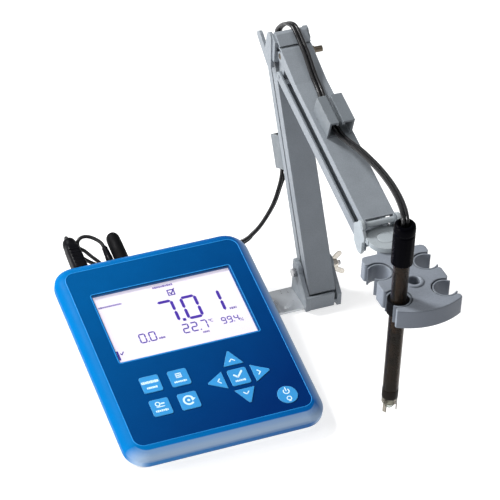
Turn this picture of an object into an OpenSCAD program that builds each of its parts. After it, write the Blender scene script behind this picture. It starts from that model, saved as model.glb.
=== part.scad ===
// Bench pH meter on a base plate with a two-section parallel-bar electrode arm.
// Origin: ground level, under the middle of the meter case. +Z up, +X to the right,
// +Y towards the back (the rear connectors). All lengths in millimetres.

/* [Meter case] */
// Slope of the front panel in degrees
tilt = 12.73; // [10:0.5:15]
// Half width of the upper case shell
case_half = 79.3; // [76:0.5:83]
// Front edge of the case, along the panel from the display centre
case_front = -122.5; // [-126:0.5:-120]
// Back edge of the case, along the panel from the display centre
case_back = 67.2; // [66:0.5:70]
// Corner radius of the case outline
case_corner = 17.5; // [14:0.5:20]
// Height of the display centre above the ground
display_z = 44.1; // [43:0.1:46]
// Y position of the display centre
display_y = 24.7; // [24:0.1:26]
// Wall thickness of both case halves
wall = 2.5; // [2:0.1:3]

/* [Panel] */
// Half width of the printed panel
panel_half = 70.9; // [69:0.1:72]
// Front edge of the printed panel
panel_front = -110.4; // [-112:0.1:-109]
// Back edge of the printed panel
panel_back = 58.4; // [57:0.1:59]
// Width of the display opening
display_width = 114.9; // [110:0.1:118]
// Height of the display opening
display_height = 68.8; // [66:0.1:72]
// Side of a square key
key_side = 15; // [13:0.1:15.4]

/* [Electrode arm] */
// X position of the middle plane of the arm
arm_x = 132.5; // [128:0.5:140]
// Pivot to pivot length of the lower arm
lower_len = 175; // [160:1:190]
// Backward lean of the lower arm from vertical, degrees
lower_lean = 28.75; // [20:0.25:35]
// Pivot to pivot length of the upper arm
upper_len = 170.5; // [155:0.5:185]
// Droop of the upper arm below horizontal, degrees
upper_drop = 15.4; // [8:0.2:22]
// Width of the lower arm bars
lower_width = 21.8; // [20:0.1:22]
// Width of the upper arm bars
upper_width = 25.8; // [25:0.1:26]
// Wall thickness of the bars
bar_wall = 1.7; // [1.4:0.1:1.8]
// Radius of the pivot pins
pin_r = 1.5; // [1.3:0.1:1.6]
// Radial running clearance of pins
pin_gap = 0.05; // [0.02:0.01:0.1]

/* [Holder and electrode] */
// Radius of the four open holder slots
slot_r = 10.4; // [10:0.1:10.8]
// Inner radius of the spring liner in each slot
liner_r = 8.2; // [7.8:0.1:8.6]
// Radius of the centre hole of the holder
hole_r = 4.6; // [4:0.1:5]
// Outer radius of the electrode body
body_r = 6; // [5.8:0.1:6.2]
// Outer radius of the electrode cap
cap_r = 8.1; // [7.6:0.1:8.6]

/* [Hidden] */
$fn = 64;

// ---- colours shared by several pieces ----------------------------------
key_color = [0.28, 0.65, 0.9];
screw_color = [0.6, 0.6, 0.62];
pin_color = [0.7, 0.7, 0.72];
head_color = [0.55, 0.58, 0.6];
clip_color = [0.68, 0.71, 0.73];
jack_color = [0.75, 0.75, 0.76];
plug_color = [0.12, 0.12, 0.14];
lead_color = [0.05, 0.05, 0.05];

// ---- pivots and axes of the arm ----------------------------------------
lower_half = lower_width / 2;
upper_half = upper_width / 2;
lower_dir = [0, sin(lower_lean), cos(lower_lean)];
lower_normal = [0, cos(lower_lean), -sin(lower_lean)];    // out of the rear face
upper_dir = [0, -cos(upper_drop), -sin(upper_drop)];
upper_normal = [0, -sin(upper_drop), cos(upper_drop)];    // out of the top face
bar_gap = 19;                                 // vertical distance between the upper bars
elbow_rise = [0, -17.4, 16.8];                // lower front bar to upper top bar
front_base = [arm_x, 53.5, 22];
rear_base = [arm_x, 64, 23.3];
front_elbow = front_base + lower_len * lower_dir;
rear_elbow = rear_base + lower_len * lower_dir;
top_elbow = front_elbow + elbow_rise;
bottom_elbow = top_elbow - [0, 0, bar_gap];
top_wrist = top_elbow + upper_len * upper_dir;
bottom_wrist = top_wrist - [0, 0, bar_gap];
swivel_reach = 12.2;                          // upper wrist pivot to the swivel axis
swivel = [arm_x, top_wrist[1] - swivel_reach];
fork_top = top_wrist[2] - 9.9;
fork_thick = 15;
// slots and centre hole, measured from the swivel axis
slot_x = 18.5;
rear_slots = -30.2;
front_slots = -62.7;
hole_y = -49.1;
electrode = swivel + [-slot_x, front_slots];  // stands in the left front slot

// ---- helpers -----------------------------------------------------------
// panel frame: origin at the display centre, Y up the slope, Z out of the panel
module on_panel() translate([0, display_y, display_z]) rotate([tilt, 0, 0]) children();
module at(points) for (p = points) translate(p) children();
// bar frames: the lower bars run along +Z, the upper bars along -Y
module along_lower(pivot) translate(pivot) rotate([-lower_lean, 0, 0]) children();
module along_upper(pivot) translate(pivot) rotate([upper_drop, 0, 0]) children();
// Y and Z of a point, for profiles drawn in the YZ plane
function yz_of(p) = [p[1], p[2]];
// a profile drawn in the YZ plane, extruded along X from x0 to x1
module yz(x0, x1) translate([x0, 0, 0]) rotate([90, 0, 90]) linear_extrude(x1 - x0) children();
// the same profile on both sides of a middle plane, inside +-half
module cheeks(half, thick, mid = arm_x)
  for (x = [mid - half, mid + half - thick]) yz(x, x + thick) children();
// rod along X at the Y and Z of a point
module x_rod(r, x0, x1, p)
  translate([x0, p[1], p[2]]) rotate([0, 90, 0]) cylinder(r = r, h = x1 - x0);
// rod along X that reaches half to each side of a point
module cross_rod(r, half, p = [0, 0, 0]) x_rod(r, p[0] - half, p[0] + half, p);
module boxes(list) for (b = list) translate(b[0]) cube(b[1]);
// block wider than the case, from z0 to z1, for cutting
module block(z0, z1) translate([-150, -200, z0]) cube([300, 400, z1 - z0]);
module round_rect(low, high, r) {
  size = high - low;
  translate([low[0] + r, low[1]]) square([size[0] - 2 * r, size[1]]);
  translate([low[0], low[1] + r]) square([size[0], size[1] - 2 * r]);
  for (x = [low[0] + r, high[0] - r], y = [low[1] + r, high[1] - r]) translate([x, y]) circle(r);
}

// ---- panel layout, in the panel frame ------------------------------------
square_keys = [[-41, -58.9], [-18.6, -59.1], [-41, -81], [-18.8, -81.2]];
cross = [25.1, -70.7];                        // centre of the arrow cross, the enter key
power_key = [54.2, -96.6];
power_key_r = 7.8;
arrow_angles = [0, 90, 180, 270];
arrow_base = 11.6;                            // base of an arrow key from the cross centre
arrow_len = 13;
arrow_stem = arrow_base + 4.6;
key_gap = 0.2;                                // clearance of the key holes
film_z = [-0.55, 0.05];                       // bottom and top of film and window

// Arrow key outline pointing along an angle, offset outwards by grow
function arrow_points(angle, grow) =
  let (c = cos(angle), s = sin(angle),
       base = [arrow_base - grow, 8 + grow * 1.74],
       tip = [arrow_base + arrow_len + grow, 0.7 + grow * 0.57])
  [for (q = [[base[0], -base[1]], [tip[0], -tip[1]], tip, base])
    cross + [q[0] * c - q[1] * s, q[0] * s + q[1] * c]];
function arrow_center(angle) = cross + arrow_stem * [cos(angle), sin(angle)];
module square_outline(center, grow, r = 1.6) {
  half = (key_side / 2 + grow) * [1, 1];
  round_rect(center - half, center + half, r);
}
module key_holes() {
  for (k = concat(square_keys, [cross])) square_outline(k, key_gap, 1.6 + key_gap);
  for (a = arrow_angles) polygon(arrow_points(a, key_gap));
  translate(power_key) circle(power_key_r + key_gap);
}
module panel_slab(grow, z0, z1)
  translate([0, 0, z0]) linear_extrude(z1 - z0)
    round_rect([-panel_half - grow, panel_front - grow], [panel_half + grow, panel_back + grow],
               8 + grow);
module display_slab(grow, z0, z1) {
  half = [display_width / 2 + grow, display_height / 2 + grow];
  translate([0, 0, z0]) linear_extrude(z1 - z0) round_rect(-half, half, 2 + grow);
}

// ---- places inside and under the case ------------------------------------
// board screws, in the panel frame
front_board_holes = [[-61, -104], [61, -104]];
rear_board_holes = [[-61, 46], [61, 46]];
// case screws: x, y and height of the joint between boss and post
case_screw_at = [[-71, -72, 8], [71, -72, 8], [-39, 82, 30], [40, 82, 30]];
plate_screw_at = [[30, 57], [62, 57]];
bracket_screw_at = [[arm_x - 6, 60], [arm_x + 6, 60]];
case_feet = [[0, 0], [-50, -72], [50, -72], [-50, 88], [50, 88]];
arm_feet = [[108, 57], [arm_x, 49]];
base_z = 3.2;                                 // underside of the case

// ---- upper case half -----------------------------------------------------
// edge rounding of the shell: inset from the outline, height in the panel frame
outer_edge = [[0, -5.6], [0.9, -4.2], [2.6, -2.6], [4.9, -1.2], [7.4, -0.25], [8.2, 0]];
inner_edge = [[0, -7.4], [2.0, -5.2], [4.5, -3.6], [7.0, -wall]];

// one edge profile on both ends of a section, beyond low and high
function dome_section(edge, low, high) = concat(
  [for (p = edge) [high + p[0], p[1]]],
  [for (i = [len(edge) - 1:-1:0]) [low - edge[i][0], edge[i][1]]]);
// rounded block with a crowned edge, inset from the case outline
module case_dome(inset, bottom, steps) {
  r = case_corner - inset;
  x = case_half - inset - r;
  y0 = case_front + inset + r;
  y1 = case_back - inset - r;
  edge = concat([[r, bottom]], [for (s = steps) [r - s[0], s[1]]]);
  top = edge[len(edge) - 1][1];
  for (cx = [-x, x], cy = [y0, y1])
    translate([cx, cy, 0]) rotate_extrude($fn = 96)
      polygon(concat([[0, bottom]], edge, [[0, top]]));
  translate([0, y0, 0]) rotate([90, 0, 0]) mirror([0, 0, 1]) linear_extrude(y1 - y0)
    polygon(dome_section(edge, -x, x));
  yz(-x, x) polygon(dome_section(edge, y0, y1));
}
module top_skin() on_panel() difference() {
  case_dome(0, -10.2, outer_edge);
  case_dome(wall, -11, inner_edge);
  // recess for the panel film
  panel_slab(0.1, -0.6, 1);
  // display opening, with a ledge under the window
  translate([-display_width / 2 + 1.5, -display_height / 2 + 1.5, -4])
    cube([display_width - 3, display_height - 3, 6]);
  translate([0, 0, -4]) linear_extrude(6) key_holes();
}
module top_shell() color([0.05, 0.42, 0.72]) {
  top_skin();
  // posts that take the case screws
  difference() {
    intersection() {
      at(case_screw_at) translate([0, 0, 0.1]) cylinder(r = 3.1, h = 60);
      on_panel() block(-60, -2.2);
    }
    at(case_screw_at) cylinder(r = 1.3, h = 7.5);
  }
}

// ---- panel film, display and boards --------------------------------------
module keypad_overlay() color([0.02, 0.25, 0.52]) on_panel() difference() {
  panel_slab(0, film_z[0], film_z[1]);
  display_slab(0.05, -1, 1);
  translate([0, 0, -1]) linear_extrude(2) key_holes();
}
module lcd_window() color([0.85, 0.88, 0.92, 0.4]) on_panel() display_slab(0, film_z[0], film_z[1]);

// segments lit for 0 to 9: top, upper right, lower right, bottom, lower left, upper left, middle
segments_on = [
  [1,1,1,1,1,1,0], [0,1,1,0,0,0,0], [1,1,0,1,1,0,1], [1,1,1,1,0,0,1], [0,1,1,0,0,1,1],
  [1,0,1,1,0,1,1], [1,0,1,1,1,1,1], [1,1,1,0,0,0,0], [1,1,1,1,1,1,1], [1,1,1,1,0,1,1]];
// characters: value, x, y, width, height, stroke
lcd_digits = [
  [7, -9.5, -5.8, 11.2, 20.4, 2.4], [0, 9.6, -5.8, 11.1, 20.4, 2.4], [1, 28.3, -5.8, 11.1, 20.4, 2.4],
  [2, 1.4, -18.4, 4.6, 8, 1], [2, 8.3, -18.4, 4.6, 8, 1], [7, 16.5, -18.4, 4.4, 8, 1],
  [9, 33, -17.9, 3, 5.6, 0.75], [9, 37.8, -17.9, 3, 5.6, 0.75], [4, 43.2, -17.9, 3, 5.6, 0.75],
  [0, -33.6, -18.4, 4.6, 8, 1], [0, -25.6, -18.4, 4.6, 8, 1]];
// decimal points: x, y, side
lcd_points = [[4.4, -7.1, 2.5], [14.3, -18.9, 1], [41.9, -18.2, 0.75], [-27.9, -18.9, 1]];

module segment(len, t)
  polygon([[0, 0], [t / 2, t / 2], [len - t / 2, t / 2], [len, 0],
           [len - t / 2, -t / 2], [t / 2, -t / 2]]);
module digit(value, w, h, stroke) {
  gap = stroke * 0.12;
  // x, y, angle and full length of each segment
  places = [
    [gap, h, 0, w], [w, h - gap, -90, h / 2], [w, h / 2 - gap, -90, h / 2], [gap, 0, 0, w],
    [0, h / 2 - gap, -90, h / 2], [0, h - gap, -90, h / 2], [gap, h / 2, 0, w]];
  for (i = [0:6]) if (segments_on[value][i])
    translate([places[i][0], places[i][1]]) rotate(places[i][2])
      segment(places[i][3] - 2 * gap, stroke);
}
module lcd_segments() color([0.3, 0.18, 0.62]) on_panel()
  translate([0, 0, -2.78]) linear_extrude(0.18) {
    for (d = lcd_digits) translate([d[1], d[2]]) digit(d[0], d[3], d[4], d[5]);
    for (p = lcd_points) translate([p[0], p[1]]) square(p[2]);
  }
module lcd_glass() color([0.86, 0.85, 0.9]) on_panel() translate([-60, -37.5, -5.6])
  cube([120, 75, 2.8]);
module lcd_backlight() color("white") on_panel() difference() {
  translate([-61, -38.5, -8.4]) cube([122, 77, 2.75]);
  for (x = [-58, 58], y = [-40, 40]) translate([x, y, -9]) cylinder(r = 2, h = 5);
}
module dome_sheet() color([0.9, 0.85, 0.6]) on_panel() {
  difference() {
    translate([-62, -108, -7.6]) cube([126, 66, 0.6]);
    at(front_board_holes) translate([0, 0, -9]) cylinder(r = 3.2, h = 4);
  }
  // one dome under each key
  at(concat(square_keys, [cross, power_key], [for (a = arrow_angles) arrow_center(a)]))
    translate([0, 0, -7.05]) cylinder(r1 = 3, r2 = 2.2, h = 0.5);
}
// keypad board, main board, the strip between them, then four components: corner, size
board_boxes = [
  [[-66, -109, -9.9], [132, 66, 1.6]],
  [[-66, -44, -13.2], [132, 94, 1.6]],
  [[-66, -46, -13.2], [132, 3, 4.9]],
  [[-30, 20, -11.65], [22, 22, 2]],
  [[10, 26, -11.65], [12, 16, 2]],
  [[35, -20, -11.65], [10, 10, 1.6]],
  [[-50, -30, -11.65], [14, 8, 1.8]]];
module main_pcb() color([0.05, 0.4, 0.2]) on_panel() difference() {
  boxes(board_boxes);
  at(front_board_holes) translate([0, 0, -12]) cylinder(r = 1.6, h = 5);
  at(rear_board_holes) translate([0, 0, -16]) cylinder(r = 1.6, h = 5);
}

// ---- keys ------------------------------------------------------------------
head_z = -2.7;                                // visible head
head_h = 3.2;
flange_z = -3.7;                              // retaining flange under the shell
flange_h = 1.05;
flange_grow = 1.2;
module key_stem(center, r = 2) translate([center[0], center[1], -5.6]) cylinder(r = r, h = 2);
// children: head outline, flange outline
module key_stack() {
  translate([0, 0, head_z]) linear_extrude(head_h) children(0);
  translate([0, 0, flange_z]) linear_extrude(flange_h) children(1);
}
module square_key(center, grow = flange_grow) color(key_color) on_panel() {
  key_stack() {
    square_outline(center, 0);
    square_outline(center, grow);
  }
  key_stem(center);
}
module arrow_key(angle) color(key_color) on_panel() {
  key_stack() {
    polygon(arrow_points(angle, 0));
    polygon(arrow_points(angle, 0.65));
  }
  key_stem(arrow_center(angle), 1.6);
}
module key_1() square_key(square_keys[0]);
module key_2() square_key(square_keys[1]);
module key_3() square_key(square_keys[2]);
module key_4() square_key(square_keys[3]);
module key_up() arrow_key(90);
module key_down() arrow_key(270);
module key_left() arrow_key(180);
module key_right() arrow_key(0);
module key_enter() square_key(cross, 0.6);
module key_power() color(key_color) on_panel() {
  translate(power_key) {
    translate([0, 0, head_z]) cylinder(r = power_key_r, h = head_h);
    translate([0, 0, flange_z]) cylinder(r = power_key_r + flange_grow, h = flange_h);
  }
  key_stem(power_key);
}

// ---- rear connectors: x and height of each axis in the panel frame ---------
bnc_axis = [-49.6, -19.5];
aux_axis = [-15, -19];
temp_axis = [-24.2, -19.5];
power_axis = [60, -24];
// start at y on a connector axis, with Z pointing out of the back
module on_axis(axis, y) translate([axis[0], y, axis[1]]) rotate([-90, 0, 0]) children();

module bnc_jack() color(jack_color) on_panel() {
  on_axis(bnc_axis, 52) difference() {
    cylinder(r = 5, h = 24);
    translate([0, 0, 18]) cylinder(r = 3.6, h = 7);
  }
  on_axis(bnc_axis, 60.2) cylinder(r = 6.6, h = 2.4);
}
module temp_jack() color([0.2, 0.2, 0.2]) on_panel() on_axis(temp_axis, 54) difference() {
  cylinder(r = 2.5, h = 12.2);
  translate([0, 0, 2]) cylinder(r = 1.3, h = 12);
}
module aux_jack() color(jack_color) on_panel() {
  on_axis(aux_axis, 52) cylinder(r = 4.5, h = 22);
  on_axis(aux_axis, 60.2) cylinder(r = 5.4, h = 2.4);
}
module power_jack() color([0.12, 0.12, 0.13]) on_panel() on_axis(power_axis, 54) difference() {
  cylinder(r = 4, h = 12);
  translate([0, 0, 2]) cylinder(r = 3, h = 12);
}
module bnc_plug() color(plug_color) on_panel() difference() {
  union() {
    on_axis(bnc_axis, 68) cylinder(r = 6.2, h = 32);
    on_axis(bnc_axis, 100) cylinder(r1 = 6.2, r2 = 3.4, h = 7);
    // flattened grip
    translate([bnc_axis[0] - 4.6, 72, bnc_axis[1] + 1]) cube([10.4, 26, 5.6]);
  }
  on_axis(bnc_axis, 67) cylinder(r = 5.05, h = 9.6);
}
module temp_plug() color(plug_color) on_panel() {
  on_axis(temp_axis, 67.2) cylinder(r = 2.9, h = 20);
  on_axis(temp_axis, 87.2) cylinder(r1 = 2.9, r2 = 1.9, h = 5);
  on_axis(temp_axis, 57) cylinder(r = 1.2, h = 10.5);
}
module aux_cap() color([0.13, 0.13, 0.14]) on_panel() difference() {
  union() {
    on_axis(aux_axis, 68) cylinder(r = 5.9, h = 29.2);
    on_axis(aux_axis, 97.2) sphere(r = 5.9);
  }
  on_axis(aux_axis, 67) cylinder(r = 4.55, h = 8.6);
}

// ---- lower case half -------------------------------------------------------
base_inset = 0.9;                             // step in from the upper half
boss_z = base_z + 0.2;                        // bosses start inside the floor
// vertical band under the joint, then drafted sides; inset measured inwards
module base_outline(inset) {
  step = base_inset + inset;
  half = case_half - step;
  intersection() {
    // outline seen along the panel normal
    translate([0, 0, -80]) linear_extrude(90)
      round_rect([-half, case_front + step + 2], [half, case_back - step - 0.5], case_corner - 1);
    // side draft
    translate([0, 200, 0]) rotate([90, 0, 0]) linear_extrude(400)
      polygon([[-half, 0], [-half, -16.6], [-half + 22, -71],
               [half - 22, -71], [half, -16.6], [half, 0]]);
  }
}
module base_skin() difference() {
  intersection() {
    on_panel() base_outline(0);
    on_panel() block(-90, -10.25);
    block(base_z, base_z + 100);
  }
  intersection() {
    on_panel() base_outline(wall);
    on_panel() block(-90, 5);
    block(base_z + wall, base_z + wall + 100);
  }
}
module board_bosses() intersection() {
  on_panel() {
    at(front_board_holes) translate([0, 0, -60]) cylinder(r = 3.2, h = 50.05);
    at(rear_board_holes) translate([0, 0, -70]) cylinder(r = 3.2, h = 56.75);
  }
  on_panel() base_outline(0.6);
  block(boss_z, boss_z + 100);
}
module base_shell() color([0.85, 0.86, 0.87]) difference() {
  union() {
    base_skin();
    board_bosses();
    // bosses for the case screws and for the base plate screws
    for (p = case_screw_at) translate([p[0], p[1], boss_z]) cylinder(r = 4, h = p[2] - boss_z);
    at(plate_screw_at) translate([0, 0, boss_z]) cylinder(r = 4, h = 9);
  }
  // board screw holes
  on_panel() {
    at(front_board_holes) translate([0, 0, -16]) cylinder(r = 1.2, h = 10);
    at(rear_board_holes) translate([0, 0, -22]) cylinder(r = 1.2, h = 12);
  }
  // case screw holes, counterbored from below
  for (p = case_screw_at) translate([p[0], p[1], 0]) {
    cylinder(r = 1.7, h = p[2] + 1);
    cylinder(r = 3.1, h = p[2] - 2.4);
  }
  at(plate_screw_at) cylinder(r = 1.75, h = 11);
  // recesses for the feet
  at(case_feet) translate([0, 0, 2]) cylinder(r = 6.1, h = 2);
  // rear connector openings
  on_panel() for (j = [[bnc_axis, 5.1], [aux_axis, 4.6], [temp_axis, 2.6], [power_axis, 4.1]])
    on_axis(j[0], 60) cylinder(r = j[1], h = 12);
}
module rubber_feet() color([0.1, 0.1, 0.1]) {
  at(case_feet) cylinder(r = 6, h = 3.95);
  at(arm_feet) cylinder(r = 4, h = 1.05);
}
// screws that pull the two halves together, with hexagon sockets from below
module case_screws() color(screw_color) at(case_screw_at) translate([0, 0, -4.4]) difference() {
  head_r = 2.9;
  head = 1.95;
  union() {
    cylinder(r = head_r, h = head);
    cylinder(r = 1.25, h = 10);
  }
  translate([0, 0, -1]) cylinder(r = head_r * 0.5, h = 1 + head * 0.6, $fn = 6);
}
module board_screw(shank_z, shank_h, top_z) {
  translate([0, 0, shank_z]) cylinder(r = 1.15, h = shank_h);
  translate([0, 0, top_z]) cylinder(r = 2.4, h = 1.2);
}
module pcb_screws() color([0.75, 0.72, 0.5]) on_panel() {
  at(front_board_holes) board_screw(-15, 6.8, -8.25);
  at(rear_board_holes) board_screw(-20, 8.5, -11.55);
}

// ---- arm base --------------------------------------------------------------
bracket_half = 15.2;
bracket_left = arm_x - bracket_half;          // outer faces of the bracket ears
bracket_right = arm_x + bracket_half;
plate_x = 18;                                 // left end of the base plate
bolt_r = 2;
bolt_hole_r = 2.05;
// side outline of an ear: y, z
ear = [[40.5, 0.4], [70, 0.4], [70, 32.5], [66.5, 32.5], [58.5, 27.5], [40.5, 11.5]];

module base_plate() color([0.75, 0.77, 0.78]) difference() {
  translate([plate_x, 43, 1.1]) cube([bracket_right - 4 - plate_x, 28, 2]);
  at(plate_screw_at) cylinder(r = 2.2, h = 4);
  at(bracket_screw_at) cylinder(r = 1.8, h = 4);
}
module arm_bracket() color([0.5, 0.53, 0.55]) difference() {
  union() {
    cheeks(bracket_half, 3.6) {
      polygon(ear);
      translate([rear_base[1], 26.2]) circle(6.4);
    }
    // floor and front upstand
    boxes([
      [[bracket_left + 1, 41, 3.15], [2 * bracket_half - 2, 29, 2.85]],
      [[bracket_left + 1, 40.6, 0.8], [2 * bracket_half - 7, 2.2, 12.4]]]);
    // inner lug for the front bar
    yz(arm_x - 6, arm_x + 6) {
      y = front_base[1];
      z = front_base[2];
      translate([y, z]) circle(3.1);
      polygon([[y - 3.05, z], [y - 3.05, 4], [y + 4.5, 4], [y + 3.05, z]]);
    }
  }
  // channel for the base plate
  translate([0, 42.9, 0.2]) cube([bracket_right - 3.95, 28.2, 2.95]);
  cross_rod(bolt_hole_r, bracket_half + 1, rear_base);
  cross_rod(pin_r + pin_gap, 8, front_base);
  at(bracket_screw_at) cylinder(r = 1.3, h = 20);
}
module plate_screw(head_r, shank_r, len) translate([0, 0, 0.3]) {
  cylinder(r = head_r, h = 0.78);
  cylinder(r = shank_r, h = len);
}
module bracket_screws() color(screw_color) {
  at(bracket_screw_at) plate_screw(3, 1.25, 5.4);
  at(plate_screw_at) plate_screw(3.4, 1.7, 9);
}
module base_bolt() color([0.8, 0.8, 0.8]) {
  x_rod(bolt_r, bracket_left - 0.4, bracket_right + 8, rear_base);
  // hexagon head on the left
  translate([bracket_left - 3.2, rear_base[1], rear_base[2]]) rotate([0, 90, 0])
    cylinder(r = 3.8, h = 2.9, $fn = 6);
}
module wing() linear_extrude(1.5) {
  translate([6.9, 8.3]) circle(2.3);
  polygon([[2.4, 0.6], [4.3, 0.4], [8.9, 7.1], [5.1, 9.7], [2.4, 5.2]]);
}
module base_wing_nut() color([0.85, 0.83, 0.8])
  translate([bracket_right + 0.15, rear_base[1], rear_base[2]]) rotate([0, 90, 0]) difference() {
    union() {
      cylinder(r1 = 4.6, r2 = 3.6, h = 5.4);
      for (a = [0, 180])
        rotate([0, 0, a - 31]) translate([0, 0.75, 0]) rotate([90, 0, 0]) wing();
    }
    translate([0, 0, -1]) cylinder(r = bolt_hole_r, h = 9);
  }
module base_front_pin() color(pin_color) cross_rod(pin_r, lower_half - 0.1, front_base);

// ---- lower arm bars: channels, side profile drawn along the bar ------------
lower_tip = [0, 0, lower_len];
module lower_front_bar() color([0.52, 0.56, 0.59]) along_lower(front_base) difference() {
  yz(-lower_half, lower_half) {
    polygon([[-5, -11.2], [-3.4, -12.4], [3.3, -12.7],
             [3.3, lower_len], [-2, lower_len + 5], [-5, lower_len + 5]]);
    translate([0, lower_len]) circle(3.3);
  }
  // hollow, open to the rear
  translate([-lower_half + bar_wall, -3.4, -20])
    cube([lower_width - 2 * bar_wall, 20, lower_len + 40]);
  cross_rod(pin_r + 0.02, lower_half + 1);
  cross_rod(pin_r + 0.15, lower_half + 1, lower_tip);
}
module lower_rear_bar() color([0.56, 0.6, 0.62]) along_lower(rear_base) difference() {
  inner_x = -lower_half + bar_wall;
  inner_w = lower_width - 2 * bar_wall;
  yz(-lower_half, lower_half) {
    polygon([[-3.3, 0], [3.6, -3.4], [3.6, lower_len + 3.6], [-3.3, lower_len]]);
    circle(3.4);
    translate([0, lower_len]) circle(3.4);
  }
  // hollow, open to the front, and a web that stops short of the elbow
  translate([inner_x, -21, -20]) cube([inner_w, 23, lower_len + 40]);
  translate([inner_x, -10, lower_len - 5.6]) cube([inner_w, 30, 20]);
  cross_rod(bolt_hole_r, lower_half + 1);
  cross_rod(pin_r + pin_gap, lower_half + 1, lower_tip);
}

// ---- elbow: profiles in Y and Z from the front lower pivot -----------------
elbow_half = 15.9;
elbow_bolt_r = 2.5;
elbow_bolt_hole_r = 2.55;
module elbow_slice(half)
  yz(arm_x - half, arm_x + half) translate(yz_of(front_elbow)) children();
horn = [
  [-8.4, 1.2], [-3.6, -1.6], [-0.6, -0.6], [20.4, 13.2], [21.6, 15.6], [20.6, 17.8],
  [17.6, 19.4], [14.8, 18.6], [4.6, 11.6], [2.6, 24.4], [1.2, 28.2], [-1.4, 29.8],
  [-4.6, 29.4], [-6.4, 27]];
module elbow_head() color(head_color) difference() {
  top = yz_of(elbow_rise);
  bottom = top - [0, bar_gap];
  rear = yz_of(rear_base - front_base);
  union() {
    cheeks(elbow_half, 2.6) translate(yz_of(front_elbow)) polygon(horn);
    // bridge between the cheeks
    elbow_slice(elbow_half - 1)
      polygon([[top[0] + 5.6, 8.4], [3, 8.4], [7.4, 9], [3.6, 12.6], [-3.2, 14],
               [-3.2, 29], [-5.2, 29.6], [top[0] + 5.6, 26]]);
    // sloping hood that carries on the face of the top bar, up to the thin rear plate
    elbow_slice(12.9)
      polygon([top + [1.3, 7.4], top + [3, 8.4], top + [6.4, 9.4],
               [-4.2, 29.4], [-4.2, 30.8], [-8.4, 31], top + [0.2, 8.6]]);
    // middle block around the two upper bar pivots
    elbow_slice(10.6) {
      translate(top) circle(5.6);
      translate(bottom) circle(3.4);
      polygon([bottom - [3.35, 0], bottom + [3.35, 0], [top[0] + 5.4, 8.4], [-0.4, 8.4],
               [-0.4, 14], top + [6.4, 6], top + [0, 5.5], top - [5.5, 0]]);
    }
    // narrower block around the two lower bar pivots
    elbow_slice(8.8) {
      circle(3.1);
      translate(rear) circle(3.1);
      polygon([[0.6, -3.05], rear - [0, 3.1], rear + [3.1, 0], [7.6, 9.2], [1.9, 9.2], [1.9, 2.4]]);
    }
  }
  // sweep of the curved end of the top bar
  elbow_slice(13.2) translate(top) difference() {
    circle(7.35);
    circle(5.75);
    translate([-20, -20]) square([40, 21]);
  }
  cross_rod(elbow_bolt_hole_r, elbow_half + 1, top_elbow);
  for (p = [bottom_elbow, front_elbow, rear_elbow]) cross_rod(pin_r + 0.02, 14, p);
}
// pins of the two lower bars and of the lower one of the upper bars
module elbow_pins() color(pin_color) {
  for (p = [front_elbow, rear_elbow]) cross_rod(pin_r, lower_half + 0.4, p);
  cross_rod(pin_r, upper_half + 0.4, bottom_elbow);
}
module elbow_bolt() color([0.5, 0.47, 0.42])
  x_rod(elbow_bolt_r, arm_x - 12.7, arm_x + 22.4, top_elbow);
module elbow_nut() color([0.6, 0.58, 0.55])
  translate(top_elbow + [13.1, 0, 0]) rotate([0, 90, 0]) difference() {
    cylinder(r = 3.9, h = 2.6, $fn = 6);
    translate([0, 0, -1]) cylinder(r = elbow_bolt_r + 0.02, h = 6);
  }

// ---- upper arm bars --------------------------------------------------------
upper_tip = [0, -upper_len, 0];
upper_inner_x = -upper_half + bar_wall;
upper_inner_w = upper_width - 2 * bar_wall;
wrist_bolt_r = 2.2;
// cutter between the flanges: y and z of its corner, length and height
module between_flanges(y, z, len, height)
  translate([upper_inner_x, y, z]) cube([upper_inner_w, len, height]);
module top_channel() difference() {
  yz(-upper_half, upper_half) {
    polygon([[0, -3.8], [0, 2.6], [-upper_len + 4, 2.6], [-upper_len, 3.4],
             [-upper_len, -3.4], [-upper_len + 6, -3.8]]);
    circle(3.8);
    translate([-upper_len, 0]) circle(3.4);
  }
  // open below; the web stops short of both pivots, so the pins lie free
  between_flanges(-upper_len - 10, -10, upper_len + 20, 11.1);
  between_flanges(-7.6, -10, 20, 20);
  between_flanges(-upper_len - 8, -10, 10.7, 20);
  cross_rod(elbow_bolt_hole_r, upper_half + 1);
  cross_rod(wrist_bolt_r + 0.05, upper_half + 1, upper_tip);
}
module upper_top_bar() color([0.56, 0.6, 0.63]) along_upper(top_elbow) {
  top_channel();
  // the face swells over the elbow pivot and curls in under the hood
  yz(-upper_half, upper_half) {
    polygon([[-32, 2.6], [-1.039, 7.125], [-0.852, 5.838], [-32, 1.285]]);
    intersection() {
      difference() {
        circle(7.2);
        circle(5.9);
      }
      polygon(concat([[0, 0]], [for (a = [98.6, 74, 50]) 20 * [cos(a), sin(a)]]));
    }
  }
  cheeks(upper_half, bar_wall, 0) polygon([[-31.6, 2.5], [-0.98, 6.9], [-0.4, 3.2], [-9, 0]]);
}
module upper_bottom_bar() color([0.6, 0.63, 0.65]) along_upper(bottom_elbow) difference() {
  yz(-upper_half, upper_half) {
    polygon([[0, -4.2], [0, 4.2], [-upper_len, 4.2], [-upper_len, -4.2]]);
    circle(4.2);
    translate([-upper_len, 0]) circle(4.2);
  }
  // open above, with the web cut short at both ends
  between_flanges(-upper_len - 10, -2.6, upper_len + 20, 20);
  between_flanges(-6.6, -10, 20, 20);
  between_flanges(-upper_len - 8, -10, 13, 20);
  cross_rod(pin_r + pin_gap, upper_half + 1);
  cross_rod(pin_r + 0.15, upper_half + 1, upper_tip);
}

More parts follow.
